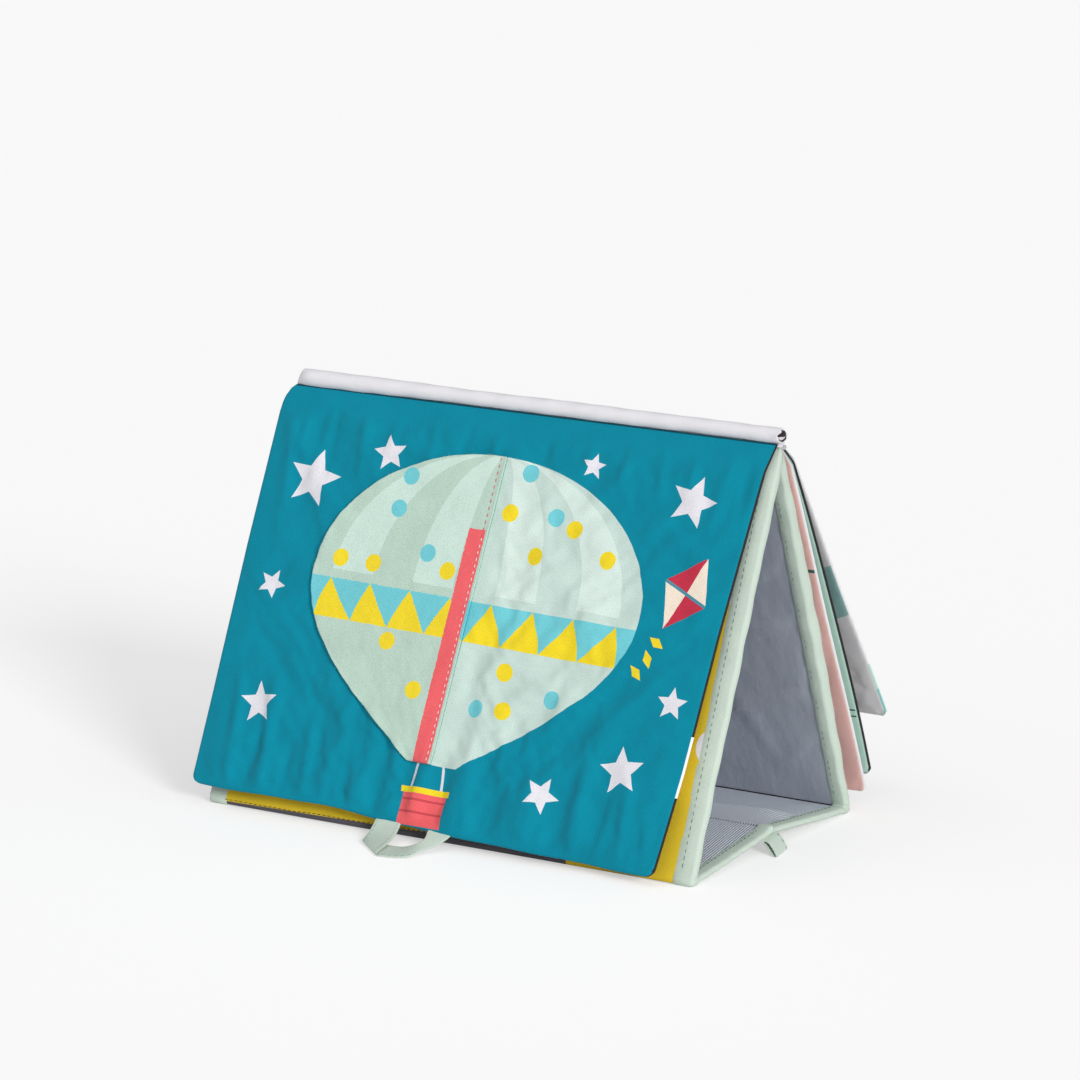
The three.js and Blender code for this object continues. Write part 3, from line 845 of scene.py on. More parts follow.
def follow_foot(piece, half):
    """Bakes a piece's place into its mesh. It works out the hinge in the foot's inner corner, between a
    wall and its half of the floor, from the wall's direction towards the floor's, but doesn't bend the
    piece."""
    inner = wall_at(wall_foot(wall_thick), wall_thick)
    turn = (base_at(1.0, 0) - base_at(0.0, 0)) - (wall_at(1.0, 0) - wall_at(0.0, 0))
    slide = 1.8 * turn / np.linalg.norm(turn)
    start, end = on_half(half, inner - slide), on_half(half, inner + slide)
    start[0] * MM
    start[1] * MM
    end[0] * MM
    end[1] * MM
    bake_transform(piece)


def make_cover(half, wall_paint):
    ups = np.concatenate([np.linspace(wall_head(0), 7.0, 90), [6.0, 5.2]])
    alongs = np.concatenate([[6.5, 8.0], np.linspace(10.0, base_half - 5.3, 24)])
    bend = round_foot()
    outer = np.concatenate(
        [bowed(half, ups, 0.0), wall_at(np.array([4.6, 4.0]), 0.0), bend, base_at(alongs, 0.0)]
    )
    direction = np.gradient(outer, axis=0)
    direction /= np.linalg.norm(direction, axis=1)[:, None]
    inward = np.stack([-direction[:, 1], direction[:, 0]], -1)
    run = np.concatenate([[0], np.cumsum(np.linalg.norm(np.diff(outer, axis=0), axis=1))])
    height = wall_head(0) - run
    x = eased(60, -half_length + 9.0, half_length - 9.0)
    grid_x, grid_h = np.meshgrid(x, height)
    lift = np.clip(grid_h / 14.0, 0, 1) * (0.22 + 0.12 * ripple(grid_x, grid_h, 3, 46, 1.0))
    stitch_pull = 0.12 * np.sin(grid_x / 1.9)
    lift += np.where((grid_h > 3) & (grid_h < 6), stitch_pull, 0)
    lift = np.clip(lift, 0, 0.5)
    front = np.zeros((*grid_x.shape, 3))
    back = front.copy()
    front[..., 0] = back[..., 0] = grid_x
    front[..., 1:] = outer[:, None] - inward[:, None] * lift[..., None]
    back[..., 1:] = outer[:, None] + inward[:, None] * (cloth - 0.05)
    front[..., 2] = np.maximum(front[..., 2], 0.0)
    front[..., 1:], back[..., 1:] = on_half(half, front[..., 1:]), on_half(half, back[..., 1:])
    cover = slab(
        f"{half}_cover_cloth", front, back, np.stack([grid_x, grid_h], -1),
        [wall_paint, paint["under"]], row_slots=(height[:-1] < 0.5).astype(int), rim_slot=1,
    )
    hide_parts(f"{half}_wall_outer_cloth", f"{half}_foot_cloth", f"base_{half}_under_cloth")
    follow_foot(cover, half)
    return cover


covers = {"front": make_cover("front", paint["yellow"]), "rear": make_cover("rear", paint["rear_wall"])}
print("outer cloths:", [len(c.data.polygons) for c in covers.values()])

# %% [markdown]
# The floor's crease has its own strip of the same cloth, which folds in two when the book closes. The
# strip is made as it lies in the open book.


# %% The cloth under the crease
def make_crease_cloth():
    reach = 5.2
    t = np.linspace(-1, 1, 17)
    y = ridge_y + t * reach
    sag = 0.25 * np.exp(-((t * 2.5) ** 2))
    z = np.array([base_at(base_half - abs(v) * reach, 0)[1] for v in t]) - sag
    x = np.linspace(-half_length + 9.5, half_length - 9.5, 60)
    grid_x, grid_y = np.meshgrid(x, y)
    front = np.stack([grid_x, grid_y, np.broadcast_to(z[:, None], grid_x.shape)], -1)
    back = front + np.array([0, 0, 0.5])
    piece = slab("crease_cover_cloth", front, back, front[..., :2], [paint["under"]])
    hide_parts("crease_cloth")
    fold_z = base_at(base_half, 0)[1]
    (ridge_y - 0.8) * MM
    (ridge_y + 0.8) * MM
    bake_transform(piece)
    return piece


crease = make_crease_cloth()


# %% [markdown]
# ## Linings
# The inside of the tent is a smooth grey cloth that buckles a little between its edges. The floor's
# lining is paler and has fine ribs. Each stays on its own panel, because the panels part at the foot
# when the book folds. Folded flat, the panels press the slack out of the cloth between them; these
# linings keep their slack, as they lie in the open book.


# %% Line the walls and the floor
def press(piece, half, at, depth):
    """Gives a piece a mesh of its own. The level of a depth in its panel is worked out but not used."""
    level, above = (on_half(half, at(0.0, d)) for d in (depth, depth + 1.0))
    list(above - level)
    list(level * MM)
    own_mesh(piece)


lining_folds = [
    (116, 104, 60, 84, 1.6, 1.0), (60, 84, 20, 104, 2.4, 0.7), (112, 132, 84, 116, 1.4, 0.8),
    (114, 66, 50, 40, 2.2, 0.9), (-20, 60, -90, 90, 4.0, 0.6), (112, 40, 84, 10, 2.0, 0.8),
    (104, 150, 88, 120, 1.4, 0.6), (80, 60, 96, 20, 2.2, 0.6), (30, 30, -10, 12, 2.6, 0.8),
]


def buckle_of_wall(x, up, seed):
    """How far a wall's lining stands off its board: a loose cloth with a few folds pressed into it."""
    loose = 0.35 + 0.3 * ripple(x, up, seed, 70, 1.0) + 0.12 * ripple(x, up, seed + 5, 24, 1.0)
    return loose + 2.4 * folds(x, up, lining_folds)


def buckle_of_floor(x, up, seed, half):
    """The same for the floor, whose rear lining stands in one long wave behind the crease."""
    loose = 0.4 + 0.5 * ripple(x, up, seed, 52, 1.0) + 0.15 * ripple(x, up, seed + 3, 17, 1.0)
    if half == "front":
        return loose
    crest = 48 + 4 * np.sin(x / 26) + 0.04 * x
    return loose + 3.4 * np.exp(-(((up - crest) / 7.5) ** 2)) * (0.8 + 0.2 * np.sin(x / 17))


def make_lining(half, kind):
    seed = 11 if half == "front" else 12
    if kind == "wall":
        at, head, foot, thick, rows, parting = wall_at, wall_head, wall_foot, wall_thick, 70, 0.1
    else:
        at, head, foot, thick, rows, parting = base_at, base_head, base_foot, base_thick, 34, 0.9
    x = eased(60, -half_length + 6.0, half_length - 6.0)
    share = np.linspace(0, 1, rows)
    up = foot(thick) + 0.1 + (head(thick) - foot(thick) - 0.1 - parting) * share
    grid_x, grid_up = np.meshgrid(x, up)
    if kind == "wall":
        buckle = buckle_of_wall(grid_x, grid_up, seed)
    else:
        buckle = buckle_of_floor(grid_x, grid_up, seed, half)
    edge = np.clip((half_length - 7 - abs(grid_x)) / 9, 0, 1)
    ends = np.sin(math.pi * share)[:, None] ** 0.5
    lift = np.clip(buckle, 0.0, np.clip(0.075 * grid_up, 0.0, 4.0)) * edge * ends
    inner = at(grid_up, thick - 0.05 + lift)
    outer = at(np.clip(grid_up, None, head(thick - cloth)), thick - cloth)
    front = np.concatenate([grid_x[..., None], on_half(half, inner)], -1)
    back = np.concatenate([grid_x[..., None], on_half(half, outer)], -1)
    name = f"{half}_wall" if kind == "wall" else f"base_{half}"
    colour = paint["lining"] if kind == "wall" else paint["floor_lining"]
    piece = slab(f"{name}_lining_cloth", front, back, np.stack([grid_x, grid_up], -1), [colour])
    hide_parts(f"{name}_lining")
    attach(piece, name)
    press(piece, half, at, thick - cloth)
    up[-1] - up[0]
    return piece


linings = [make_lining(half, kind) for half in ("front", "rear") for kind in ("wall", "base")]
print("linings:", len(linings))

# %% [markdown]
# ## Edge bindings
# A mint tape closes the raw edge at each end of the panels. It is folded round the edge, so one leg
# lies outside and one inside, and it runs in one length from the ridge down the wall, round the foot and
# along the floor to the crease. The section is swept along that way; the tape swells a little where it
# folds over the edge.


# %% Sweep the tape along the panels' ends
def binding_way(half):
    """Outside and inside lines of the tape, point for point, from the ridge to the crease."""
    bend = round_foot()
    count = len(bend) + 2
    outer = np.concatenate(
        [
            bowed(half, np.linspace(wall_head(0), 5.0, 70), 0),
            wall_at(np.array([4.4, 4.0]), 0),
            bend,
            base_at(np.linspace(6.5, base_head(0) - 0.1, 30), 0),
        ]
    )
    wall_end, base_end = wall_foot(wall_thick), base_foot(base_thick)
    corner = wall_at(wall_end, wall_thick)
    above, beside = wall_at(wall_end + 1.6, wall_thick), base_at(base_end + 1.6, base_thick)
    t = np.linspace(0, 1, count)[:, None]
    inner = np.concatenate(
        [
            wall_at(np.linspace(wall_head(wall_thick), wall_end + 2.0, 70), wall_thick),
            above * (1 - t) ** 2 + 2 * t * (1 - t) * corner + t * t * beside,
            base_at(np.linspace(base_end + 2.0, base_head(base_thick) - 0.1, 30), base_thick),
        ]
    )
    return outer, inner


def binding_section():
    """(distance in from the edge, share of the panel's thickness) round the tape's section: the
    outside leg, the fold, the inside leg, and back along the side that lies on the panel."""
    proud, skin = 0.07, 0.14
    fold_radius, inner_radius = 1.75, 1.1
    turn = np.linspace(-math.pi / 2, math.pi / 2, 9)
    outside = [(binding_outside, 0.02 - proud * 0.3), (binding_outside - 0.5, -proud), (5.0, -proud)]
    fold = [(fold_radius * (1 - math.cos(a)), 0.5 + (0.5 + proud) * math.sin(a)) for a in turn]
    inside = [(4.0, 1 + proud), (binding_inside - 0.5, 1 + proud), (binding_inside, 0.98 + proud * 0.3)]
    within = [
        (cloth + inner_radius * (1 - math.cos(a)), 0.5 + (0.5 - skin) * math.sin(a)) for a in turn[::-1]
    ]
    return np.array(
        outside + fold + inside + [(binding_inside, 1 - skin)] + within + [(binding_outside, skin)]
    )


def make_binding(half, side):
    outer, inner = binding_way(half)
    section = binding_section()
    in_from_edge, through = section[None, :, 0], section[None, :, 1]
    run = np.concatenate([[0], np.cumsum(np.linalg.norm(np.diff(outer, axis=0), axis=1))])
    dents = 0.035 * np.sin(run * 2 * math.pi / 3.2)[:, None] * np.exp(-(((in_from_edge - 5.2) / 1.8) ** 2))
    share = through + dents * np.sign(through - 0.5)
    yz = outer[:, None] * (1 - share[..., None]) + inner[:, None] * share[..., None]
    near_crease = np.exp(-(((run[-1] - run) / 5.0) ** 2))[:, None]
    yz[..., 1] += (0.9 if half == "front" else -0.35) * near_crease * (through > 0.9)
    yz[..., 1] = np.maximum(yz[..., 1], 0.0)
    seed = 5 if side > 0 else 6
    pucker = 0.2 * np.sin(run * 2 * math.pi / 3.1)[:, None]
    pucker = pucker + 0.25 * ripple(run[:, None], 0 * share, seed, 34, 1.0)
    depth = np.maximum(in_from_edge + pucker * np.clip(1 - in_from_edge / 9, 0.15, 1), 0.0)
    x = side * (half_length - depth)
    points = np.concatenate([np.broadcast_to(x[..., None], (*yz.shape[:2], 1)), on_half(half, yz)], -1)
    faces = tube_faces(*points.shape[:2])
    around = np.concatenate([[0], np.cumsum(np.hypot(*(np.diff(section, axis=0) * [1, wall_thick]).T))])
    uv = np.stack(np.broadcast_arrays(around[None, :], run[:, None]), -1).reshape(-1, 2)
    end = "right" if side > 0 else "left"
    piece = finish_mesh(
        f"{half}_binding_{end}_tape", points.reshape(-1, 3), faces, [paint["mint"]],
        np.zeros(len(faces)), uv, sharp=60,
    )
    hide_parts(f"{half}_wall_binding_{end}", f"base_{half}_binding_{end}")
    follow_foot(piece, half)
    return piece


bindings = [make_binding(half, side) for half in ("front", "rear") for side in (-1, 1)]
print("bindings:", len(bindings))

# %% [markdown]
# ## The roll on the ridge
# A padded tube of white cloth covers the seam where the walls and pages meet. The cloth is drawn tight
# round a filling, narrows to the seam below, and shows small dents where the seam pulls on it. The
# filling is dark, and its gathered end shows at the tube's mouth.


# %% Make the roll and its filling
def tube(name, xs, rings, material, slot, body, *nodes):
    """A closed body from rings of points around the ridge line, one for each x."""
    rows, columns = rings.shape[:2]
    faces = tube_faces(rows, columns)
    around = np.linspace(0, 2 * math.pi * roll_radius, columns)
    uv = np.stack(np.broadcast_arrays(around[None, :], xs[:, None]), -1).reshape(-1, 2)
    piece = finish_mesh(name, rings.reshape(-1, 3), faces, [material], np.zeros(len(faces)), uv)
    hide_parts(*nodes)
    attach(piece, body)
    return piece


def make_roll():
    low, high = 3.6 - half_length, half_length - 0.6
    xs = eased(190, low, high, edge=4.0, finest=0.25)
    meet = math.acos(0.5 / roll_radius)
    angles = np.linspace(-meet, math.pi + meet, 56)
    lap = 0.22 / (1 + np.exp((angles - 1.15) / 0.05))
    rings = []
    for x in xs:
        end = min(x - low, high - x)
        plump = 1 - 0.04 * max(0.0, 1 - end / 1.0) ** 2
        dent = 1 + 0.02 * math.sin(x / 3.3) * math.sin(x / 11.0 + 1) + 0.03 * math.sin(x / 19.0)
        pull = 0.09 * np.exp(-(((angles + 0.7) / 0.5) ** 2)) * math.sin(x * 2 * math.pi / 4.2)
        twist = 0.04 * np.sin(2 * angles + x / 9.0) * np.sin(x / 5.1 + angles)
        height = 1.05 + 0.12 * np.clip((-x - 40) / 80, 0, 1)
        radius = np.minimum(roll_radius * plump * (dent + pull + twist) * height + lap, roll_radius + 0.9)
        slant = x - 1.8 * (1 - np.sin(angles)) * np.clip(1 - (x - low) / 8, 0, 1)
        flat = 1 - 0.6 * max(0.0, 1 - (x - low) / 6.0) ** 2
        mouth = max(0.0, 1 - (high - x) / 5.0) ** 2
        slant = slant + mouth * (0.7 * np.sin(3 * angles + 0.4) + 0.5 * np.sin(5 * angles + 2.0))
        radius = radius * (1 + mouth * (0.1 * np.sin(2 * angles + 2.4) + 0.06 * np.sin(7 * angles)))
        y, z = roll_y + flat * radius * np.cos(angles), roll_z + radius * np.sin(angles)
        ring = np.stack([slant, y, z], -1)
        neck = np.array([[x, roll_y - 0.5, ridge_z + 0.35], [x, roll_y + 0.5, ridge_z + 0.35]])
        rings.append(np.concatenate([ring, neck]))
    rings = np.array(rings)
    return tube("ridge_roll", xs, rings, paint["white"], "white_cloth", "front_wall", "spine_roll_cover")


def make_filling():
    """The gathered end of the filling stands a little out of the roll's right mouth."""
    xs = np.concatenate([[-half_length + 14.0], np.linspace(half_length - 4, half_length + 1.2, 16)])
    angles = np.linspace(0, 2 * math.pi, 48, endpoint=False)
    rings = []
    for x in xs:
        out = max(0.0, x - (half_length - 1.2)) / 2.4
        radius = 2.8 * math.sqrt(max(0.02, 1 - out**2.2)) * (1 + 0.14 * out * np.sin(angles * 7 + 0.5))
        radius = radius * (1 + 0.08 * np.sin(2 * angles + 2.4))
        y, z = roll_y + radius * np.cos(angles), roll_z + radius * np.sin(angles)
        rings.append(np.stack([0 * angles + x, y, z], -1))
    rings = np.array(rings)
    return tube("roll_filling", xs, rings, paint["filling"], "black_cloth", "front_wall", "spine_roll_core")


def make_seam_end():
    """The white seam allowance that shows under the roll's right mouth."""
    middle = np.array([(-1.8, 0.6), (-0.8, 1.3), (0.4, 1.5), (1.6, 1.2), (2.5, 0.2), (3.0, -1.2)])
    t = np.linspace(0, 1, 12)
    y, z = (np.interp(t, np.linspace(0, 1, 6), middle[:, i]) for i in (0, 1))
    x = np.linspace(half_length - 2.5, half_length + 0.3, 8) + 0 * t[:, None]
    x[:, -1] += 0.3 * np.sin(t * 11)
    front = np.stack([x, ridge_y + y[:, None] + 0 * x, ridge_z + z[:, None] + 0 * x], -1)
    back = front - np.array([0, 0.12, 0.35])
    piece = slab("seam_end", front, back, front[..., :2], [paint["white"]])
    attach(piece, "front_wall")
    return piece


roll = make_roll()
make_filling()
make_seam_end()
print("roll faces:", len(roll.data.polygons))

# %% [markdown]
# ## Padded pages
# A page is two cloths sewn together round the edge, turned right side out over a sheet of wadding, and
# caught in the ridge seam by its unpadded top. Air and wadding swell it, and the seam draws the rim in.
# A short cloth simulation of a coarse copy finds where the cloth creases: the copy is blown up a little
# while its cloth grows and its lower seam shrinks. Only the creases are taken from it. The size and
# thickness of the page stay those that the rules below give.


# %% Simulate a page's creases
def smoothed(height, reach):
    """A grid of heights under a soft window of this many cells."""
    window = np.exp(-0.5 * (np.arange(-3 * reach, 3 * reach + 1) / reach) ** 2)
    window /= window.sum()
    for axis in (0, 1):
        pads = [(3 * reach, 3 * reach) if i == axis else (0, 0) for i in (0, 1)]
        padded = np.pad(height, pads, mode="edge")
        height = np.apply_along_axis(lambda row: np.convolve(row, window, "valid"), axis, padded)
    return height


def simulate_creases(seed, width=245.0, length=187.0, rows=66, columns=86, frames=11):
    """Heights of the creases of a page's two sides, in millimetres, on grids from corner to corner."""
    grow, draw_in = 0.012, 0.03
    random = np.random.default_rng(seed)
    s, t = np.meshgrid(np.linspace(0, 1, columns), np.linspace(0, 1, rows))
    x, z = (s - 0.5) * width, -t * length
    rough = random.normal(0, 0.05, (2, rows, columns))
    gathers = 0.35 * np.sin(x / 3.4 + 3 * np.sin(x / 21 + seed)) * t**6
    near = np.stack([x, -0.7 + rough[0] - gathers, z], -1)
    far = np.stack([x, 0.7 + rough[1] - gathers, z], -1)
    count = rows * columns
    faces = grid_faces(rows, columns)
    border = grid_border(rows, columns)
    after = np.roll(border, -1)
    rim = np.stack([border, after, after + count, border + count], -1)
    mesh = bpy.data.meshes.new("crease_trial")
    points = np.concatenate([near.reshape(-1, 3), far.reshape(-1, 3)]) * MM
    mesh.from_pydata(points.tolist(), [], np.concatenate([faces[:, ::-1], faces + count, rim]).tolist())
    trial = bpy.data.objects.new("crease_trial", mesh)
    scene.collection.objects.link(trial)
    pinned = trial.vertex_groups.new(name="pinned")
    top = list(range(2 * columns))
    pinned.add(top + [i + count for i in top], 1.0, "REPLACE")
    drawn = trial.vertex_groups.new(name="drawn")
    low = list(range(count - 2 * columns, count))
    drawn.add(low + [i + count for i in low], 1.0, "REPLACE")
    modifier = trial.modifiers.new("cloth", "CLOTH")
    settings = modifier.settings
    settings.bending_stiffness = 0.12
    settings.vertex_group_mass = "pinned"
    settings.vertex_group_shrink = "drawn"
    settings.shrink_min, settings.shrink_max = -grow, draw_in
    settings.use_pressure = True
    settings.uniform_pressure_force = 1.0
    settings.effector_weights.gravity = 0
    modifier.collision_settings.use_collision = False
    for frame_number in range(1, frames + 1):
        scene.frame_set(frame_number)
    seen = trial.evaluated_get(bpy.context.evaluated_depsgraph_get())
    places = np.zeros(len(seen.data.vertices) * 3, np.float32)
    seen.data.vertices.foreach_get("co", places)
    sides = places.reshape(2, rows, columns, 3)[..., 1] / MM
    bpy.data.objects.remove(trial)
    scene.frame_set(1)
    return np.stack([-(sides[0] - smoothed(sides[0], 4)), sides[1] - smoothed(sides[1], 4)])


def sample(grid, s, t):
    """Heights between the points of a grid, for places s across and t down it, both from 0 to 1."""
    rows, columns = grid.shape
    a, b = np.clip(s, 0, 1) * (columns - 1), np.clip(t, 0, 1) * (rows - 1)
    i, j = np.minimum(a.astype(int), columns - 2), np.minimum(b.astype(int), rows - 2)
    a, b = a - i, b - j
    a, b = a * a * (3 - 2 * a), b * b * (3 - 2 * b)
    upper = grid[j, i] * (1 - a) + grid[j, i + 1] * a
    lower = grid[j + 1, i] * (1 - a) + grid[j + 1, i + 1] * a
    return upper * (1 - b) + lower * b


# %% Build one page
def page_place(turn, x, n, drop):
    """Row-frame points of a page that hangs at an angle: n is off its plane and drop is down it."""
    y = roll_y + n * math.cos(turn) + drop * math.sin(turn)
    z = roll_z + n * math.sin(turn) - drop * math.cos(turn)
    return np.stack(np.broadcast_arrays(x, y, z), -1)


def page_grid(left, right, bottom, start, rows, columns, corner=5.0):
    """Grids of x and drop over a page whose sides and bottom edge are given by rules, with rounded
    corners at the bottom and rows crowded where the page leaves its seam."""
    across = eased(columns, 0.0, 1.0, edge=0.028, finest=0.0014)
    seam_zone, about_long = 2.6, 190.0
    top = start + np.linspace(0, 1, 26) ** 1.3 * seam_zone
    rest = eased(rows, 0.0, 1.0, edge=0.035, finest=0.0018)
    rest = rest[rest > 0.012]
    passed = seam_zone / about_long
    drops = np.concatenate([(top - start) / about_long, passed + (1 - passed) * rest])
    s, t = np.meshgrid(across, drops)
    x = left(start) + (right(start) - left(start)) * s
    for _ in range(3):
        drop = start + (bottom(x) - start) * t
        x = left(drop) + (right(drop) - left(drop)) * s
    middle = (left(drop) + right(drop)) / 2
    side = np.sign(x - middle)
    edge_x = np.where(side < 0, left(drop), right(drop))
    a, b = abs(edge_x - x), bottom(x) - drop
    near = (a < corner) & (b < corner)
    p, q = 1 - a / corner, 1 - b / corner
    squeeze = np.where(near, np.maximum(p, q) / np.maximum(np.hypot(p, q), 1e-9), 1.0)
    x = np.where(near, edge_x - side * corner * (1 - p * squeeze), x)
    drop = np.where(near, bottom(x) - corner * (1 - q * squeeze), drop)
    return x, drop


class Page:
    """The rules of one page: its outline, its middle surface and the height of its two skins."""

    def __init__(
        self, seed, left, right, bottom, mid, turn, start, pad_top, folds, calm, crease, ripple_height
    ):
        self.left, self.right, self.bottom, self.mid = left, right, bottom, mid
        self.turn, self.start, self.pad_top = turn, start, pad_top
        self.folds, self.calm, self.crease, self.seed = folds, calm, crease, seed
        self.ripple_height = ripple_height
        self.creases = simulate_creases(seed)
        print("creases, mean and highest:", abs(self.creases).mean().round(2), self.creases.max().round(2))

    def rim(self, x, drop):
        """A soft version of the distance to the nearest of the page's sewn edges."""
        gaps = x - self.left(drop), self.right(drop) - x, self.bottom(x) - drop
        return sum(np.maximum(gap, 1e-4) ** -3.0 for gap in gaps) ** (-1 / 3)

    def skin(self, x, drop, side):
        """How far a skin stands off the middle surface. side is 0 for the near skin, 1 for the far."""
        rim = self.rim(x, drop)
        top = np.clip((drop - self.start - 2) / (self.pad_top - self.start + 10), 0, 1)
        top = top * top * (3 - 2 * top)
        roll_off = np.sqrt(np.clip(1 - (1 - np.clip(rim / 2.2, 0, 1)) ** 2, 0, 1))
        strip, padded, crown = 0.26, 0.95, 0.5
        half = roll_off * (strip + (padded - strip + crown * (1 - np.exp(-rim / 14.0))) * top)
        s = (x - self.left(drop)) / (self.right(drop) - self.left(drop))
        t = (drop - self.start) / (self.bottom(x) - self.start)
        soft = folds(x, drop, self.folds[side]) + self.crease * sample(self.creases[side], s, t)
        soft = soft + self.ripple_height * ripple(x, drop, 20 + 7 * self.seed + side, 30, 1.0)
        soft = np.clip(soft, -1.3, 1.9) * self.calm(x, drop) * np.clip((rim - 0.6) / 6, 0, 1)
        wave = (x + 0.6 * drop) * 2 * math.pi / 4.3 + 2.0 * np.sin(x / 17) + 1.5 * np.sin(drop / 13)
        low = np.exp(-(((self.bottom(x) - drop) / 7) ** 2))
        gather = (0.06 + 0.14 * low) * np.exp(-(((rim - 2.6) / 2.2) ** 2)) * np.sin(wave)
        return half + (soft + gather) * top


def make_page(piece_name, name, layers, page, near, far, seam_in):
    """A page as one closed pad that hangs from the roll. Its hinge below the roll is worked out, but the
    piece isn't bent there or hung on a body. seam_in says where the back's cloth shows on the near side."""
    x, drop = page_grid(page.left, page.right, page.bottom, page.start, 104, 124)
    mid = page.mid(x, drop)
    front = page_place(page.turn, x, mid - page.skin(x, drop, 0), drop)
    back = page_place(page.turn, x, mid + page.skin(x, drop, 1), drop)
    piece = slab(
        piece_name, front, back, np.stack([x, drop], -1), [near, far], rim_slot=1, sharp=180,
        near_slots=seam_in(x, drop),
    )
    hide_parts(*(f"{name}_{layer}" for layer in layers))
    start, end = (
        page_place(page.turn, 0.0, float(page.mid(0.0, drop)), drop) * MM
        for drop in (page.start, page.start + 2.4)
    )
    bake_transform(piece)
    return piece


# %% [markdown]
# The front page hangs off its wall by a degree and a half and is cut a little crooked, as hand work is.
# Its lower edge gathers into upright folds, and the cloth draws towards the loop and the corners.

# %% The front page
front_turn = -(lean + math.radians(1.5))


def front_left(drop):
    drops = [3.7, 5.5, 8.0, 12.0, 17.0, 80, 150, 190.5]
    return np.interp(drop, drops, [-124.4, -126.6, -128.4, -129.6, -130.1, -130.9, -130.8, -131.2])


def front_right(drop):
    return np.interp(drop, [3.7, 16.5, 90.0, 150.0, 197.0], [123.5, 120.6, 116.0, 113.6, 110.2])


def front_bottom(x):
    drawn_up = 2.2 * np.exp(-(((x + 62) / 30) ** 2))
    return 190.4 + 0.0269 * (x + 131.5) + 0.35 * np.sin(x / 9.0) * np.cos(x / 23.0) - drawn_up


def front_mid(x, drop):
    """The page's middle surface bows a little, most towards its lower edge."""
    low = np.clip((drop - 120) / 75, 0, 1) ** 2
    wave = 0.55 * np.sin(x / 15.0 + 0.6) + 0.4 * np.sin(x / 8.1 + 2.0)
    return -low * (0.5 + wave) - 0.35 * np.sin(math.pi * np.clip(drop / 190, 0, 1)) * np.cos(x / 90)


front_folds = [
    (-111, 190, -116, 140, 2.8, 2.1), (-103, 189, -100, 160, 2.0, -1.41),
    (-94, 190, -97, 138, 3.0, 1.82), (-84, 190, -82, 166, 2.2, -1.26),
    (-71, 190, -74, 150, 2.6, 1.68), (-58, 191, -57, 168, 2.1, -1.26),
    (-46, 191, -50, 150, 2.6, 1.68), (-33, 192, -31, 172, 2.0, 1.12), (14, 193, 10, 160, 2.6, 1.68),
    (24, 194, 25, 172, 2.0, -1.26), (44, 194, 40, 158, 3.0, 1.68), (56, 195, 60, 170, 2.2, -1.12),
    (68, 195, 66, 150, 3.0, 1.54), (80, 195, 84, 168, 2.2, 1.12), (92, 195, 90, 160, 2.6, 1.54),
    (101, 196, 99, 176, 2.0, -1.12), (-120, 22, -116, 58, 2.9, 1.5),
    (-104, 14, -108, 44, 2.2, -1.16), (-82, 12, -80, 40, 2.4, 1.16), (-46, 10, -44, 34, 2.2, 1.16),
    (-28, 10, -30, 30, 1.9, -1.01), (36, 10, 34, 32, 2.2, 1.01), (70, 10, 74, 36, 2.5, 1.16),
    (104, 14, 100, 46, 2.5, 1.16), (-126, 90, -100, 112, 3.4, 0.64), (112, 84, 84, 96, 3.9, 0.64),
    (110, 130, 80, 134, 3.4, 0.64), (20, 60, 60, 100, 5.2, 0.73), (30, 120, 60, 132, 4.3, 0.64),
    (100, 60, 70, 40, 4.3, 0.53), (-112, 12, -114, 34, 2.0, 1.1), (-97, 10, -99, 44, 2.1, -1.0),
    (-66, 10, -67, 30, 1.9, 0.9), (-12, 9, -14, 32, 1.9, 1.0), (14, 9, 12, 28, 1.8, -0.9),
    (54, 10, 53, 34, 2.0, 1.0), (88, 10, 86, 36, 2.1, 1.0), (114, 12, 112, 40, 2.1, -0.9),
]


def under_flap(x, drop):
    """The felt holds the page's cloth calm where it lies on it."""
    down = drop - flap_drop
    levels = np.linspace(0, flap_height, 80)
    reach = np.interp(down, levels, balloon_half_width(levels))
    inside = np.clip((reach + 6 - abs(x - flap_x)) / 10, 0, 1) * np.clip((down + 6) / 10, 0, 1)
    inside = inside * np.clip((flap_height + 6 - down) / 10, 0, 1) * np.clip((flap_x + 8 - x) / 10, 0, 1)
    return 1 - 0.85 * inside


teal_page = Page(
    seed=1, left=front_left, right=front_right, bottom=front_bottom, mid=front_mid, turn=front_turn,
    start=3.7, pad_top=12.0, folds=(front_folds, []), calm=under_flap, crease=0.8, ripple_height=0.16,
)
front_page = make_page(
    "front_page_pad", "front_page", ("face_cloth", "wadding", "back_cloth", "hinge_strip"),
    teal_page, paint["teal"], paint["contrast"],
    lambda x, drop: (front_right(drop) - x < 1.1) & (drop > 4),
)
print("front page faces:", len(front_page.data.polygons))

# %% [markdown]
# The three rear pages hang one behind the other. Each is caught a little further out than the last, and
# they fan apart at the bottom. The mid surface runs straight from the seam to the top of the padding
# and then down the page's own plane.

# %% The rear pages
page_edge = 1.8
page_clear = 0.9
page_hang = 2.4
roll_rise = 4.9
pad_drop = 12.0 + roll_rise * math.cos(lean)


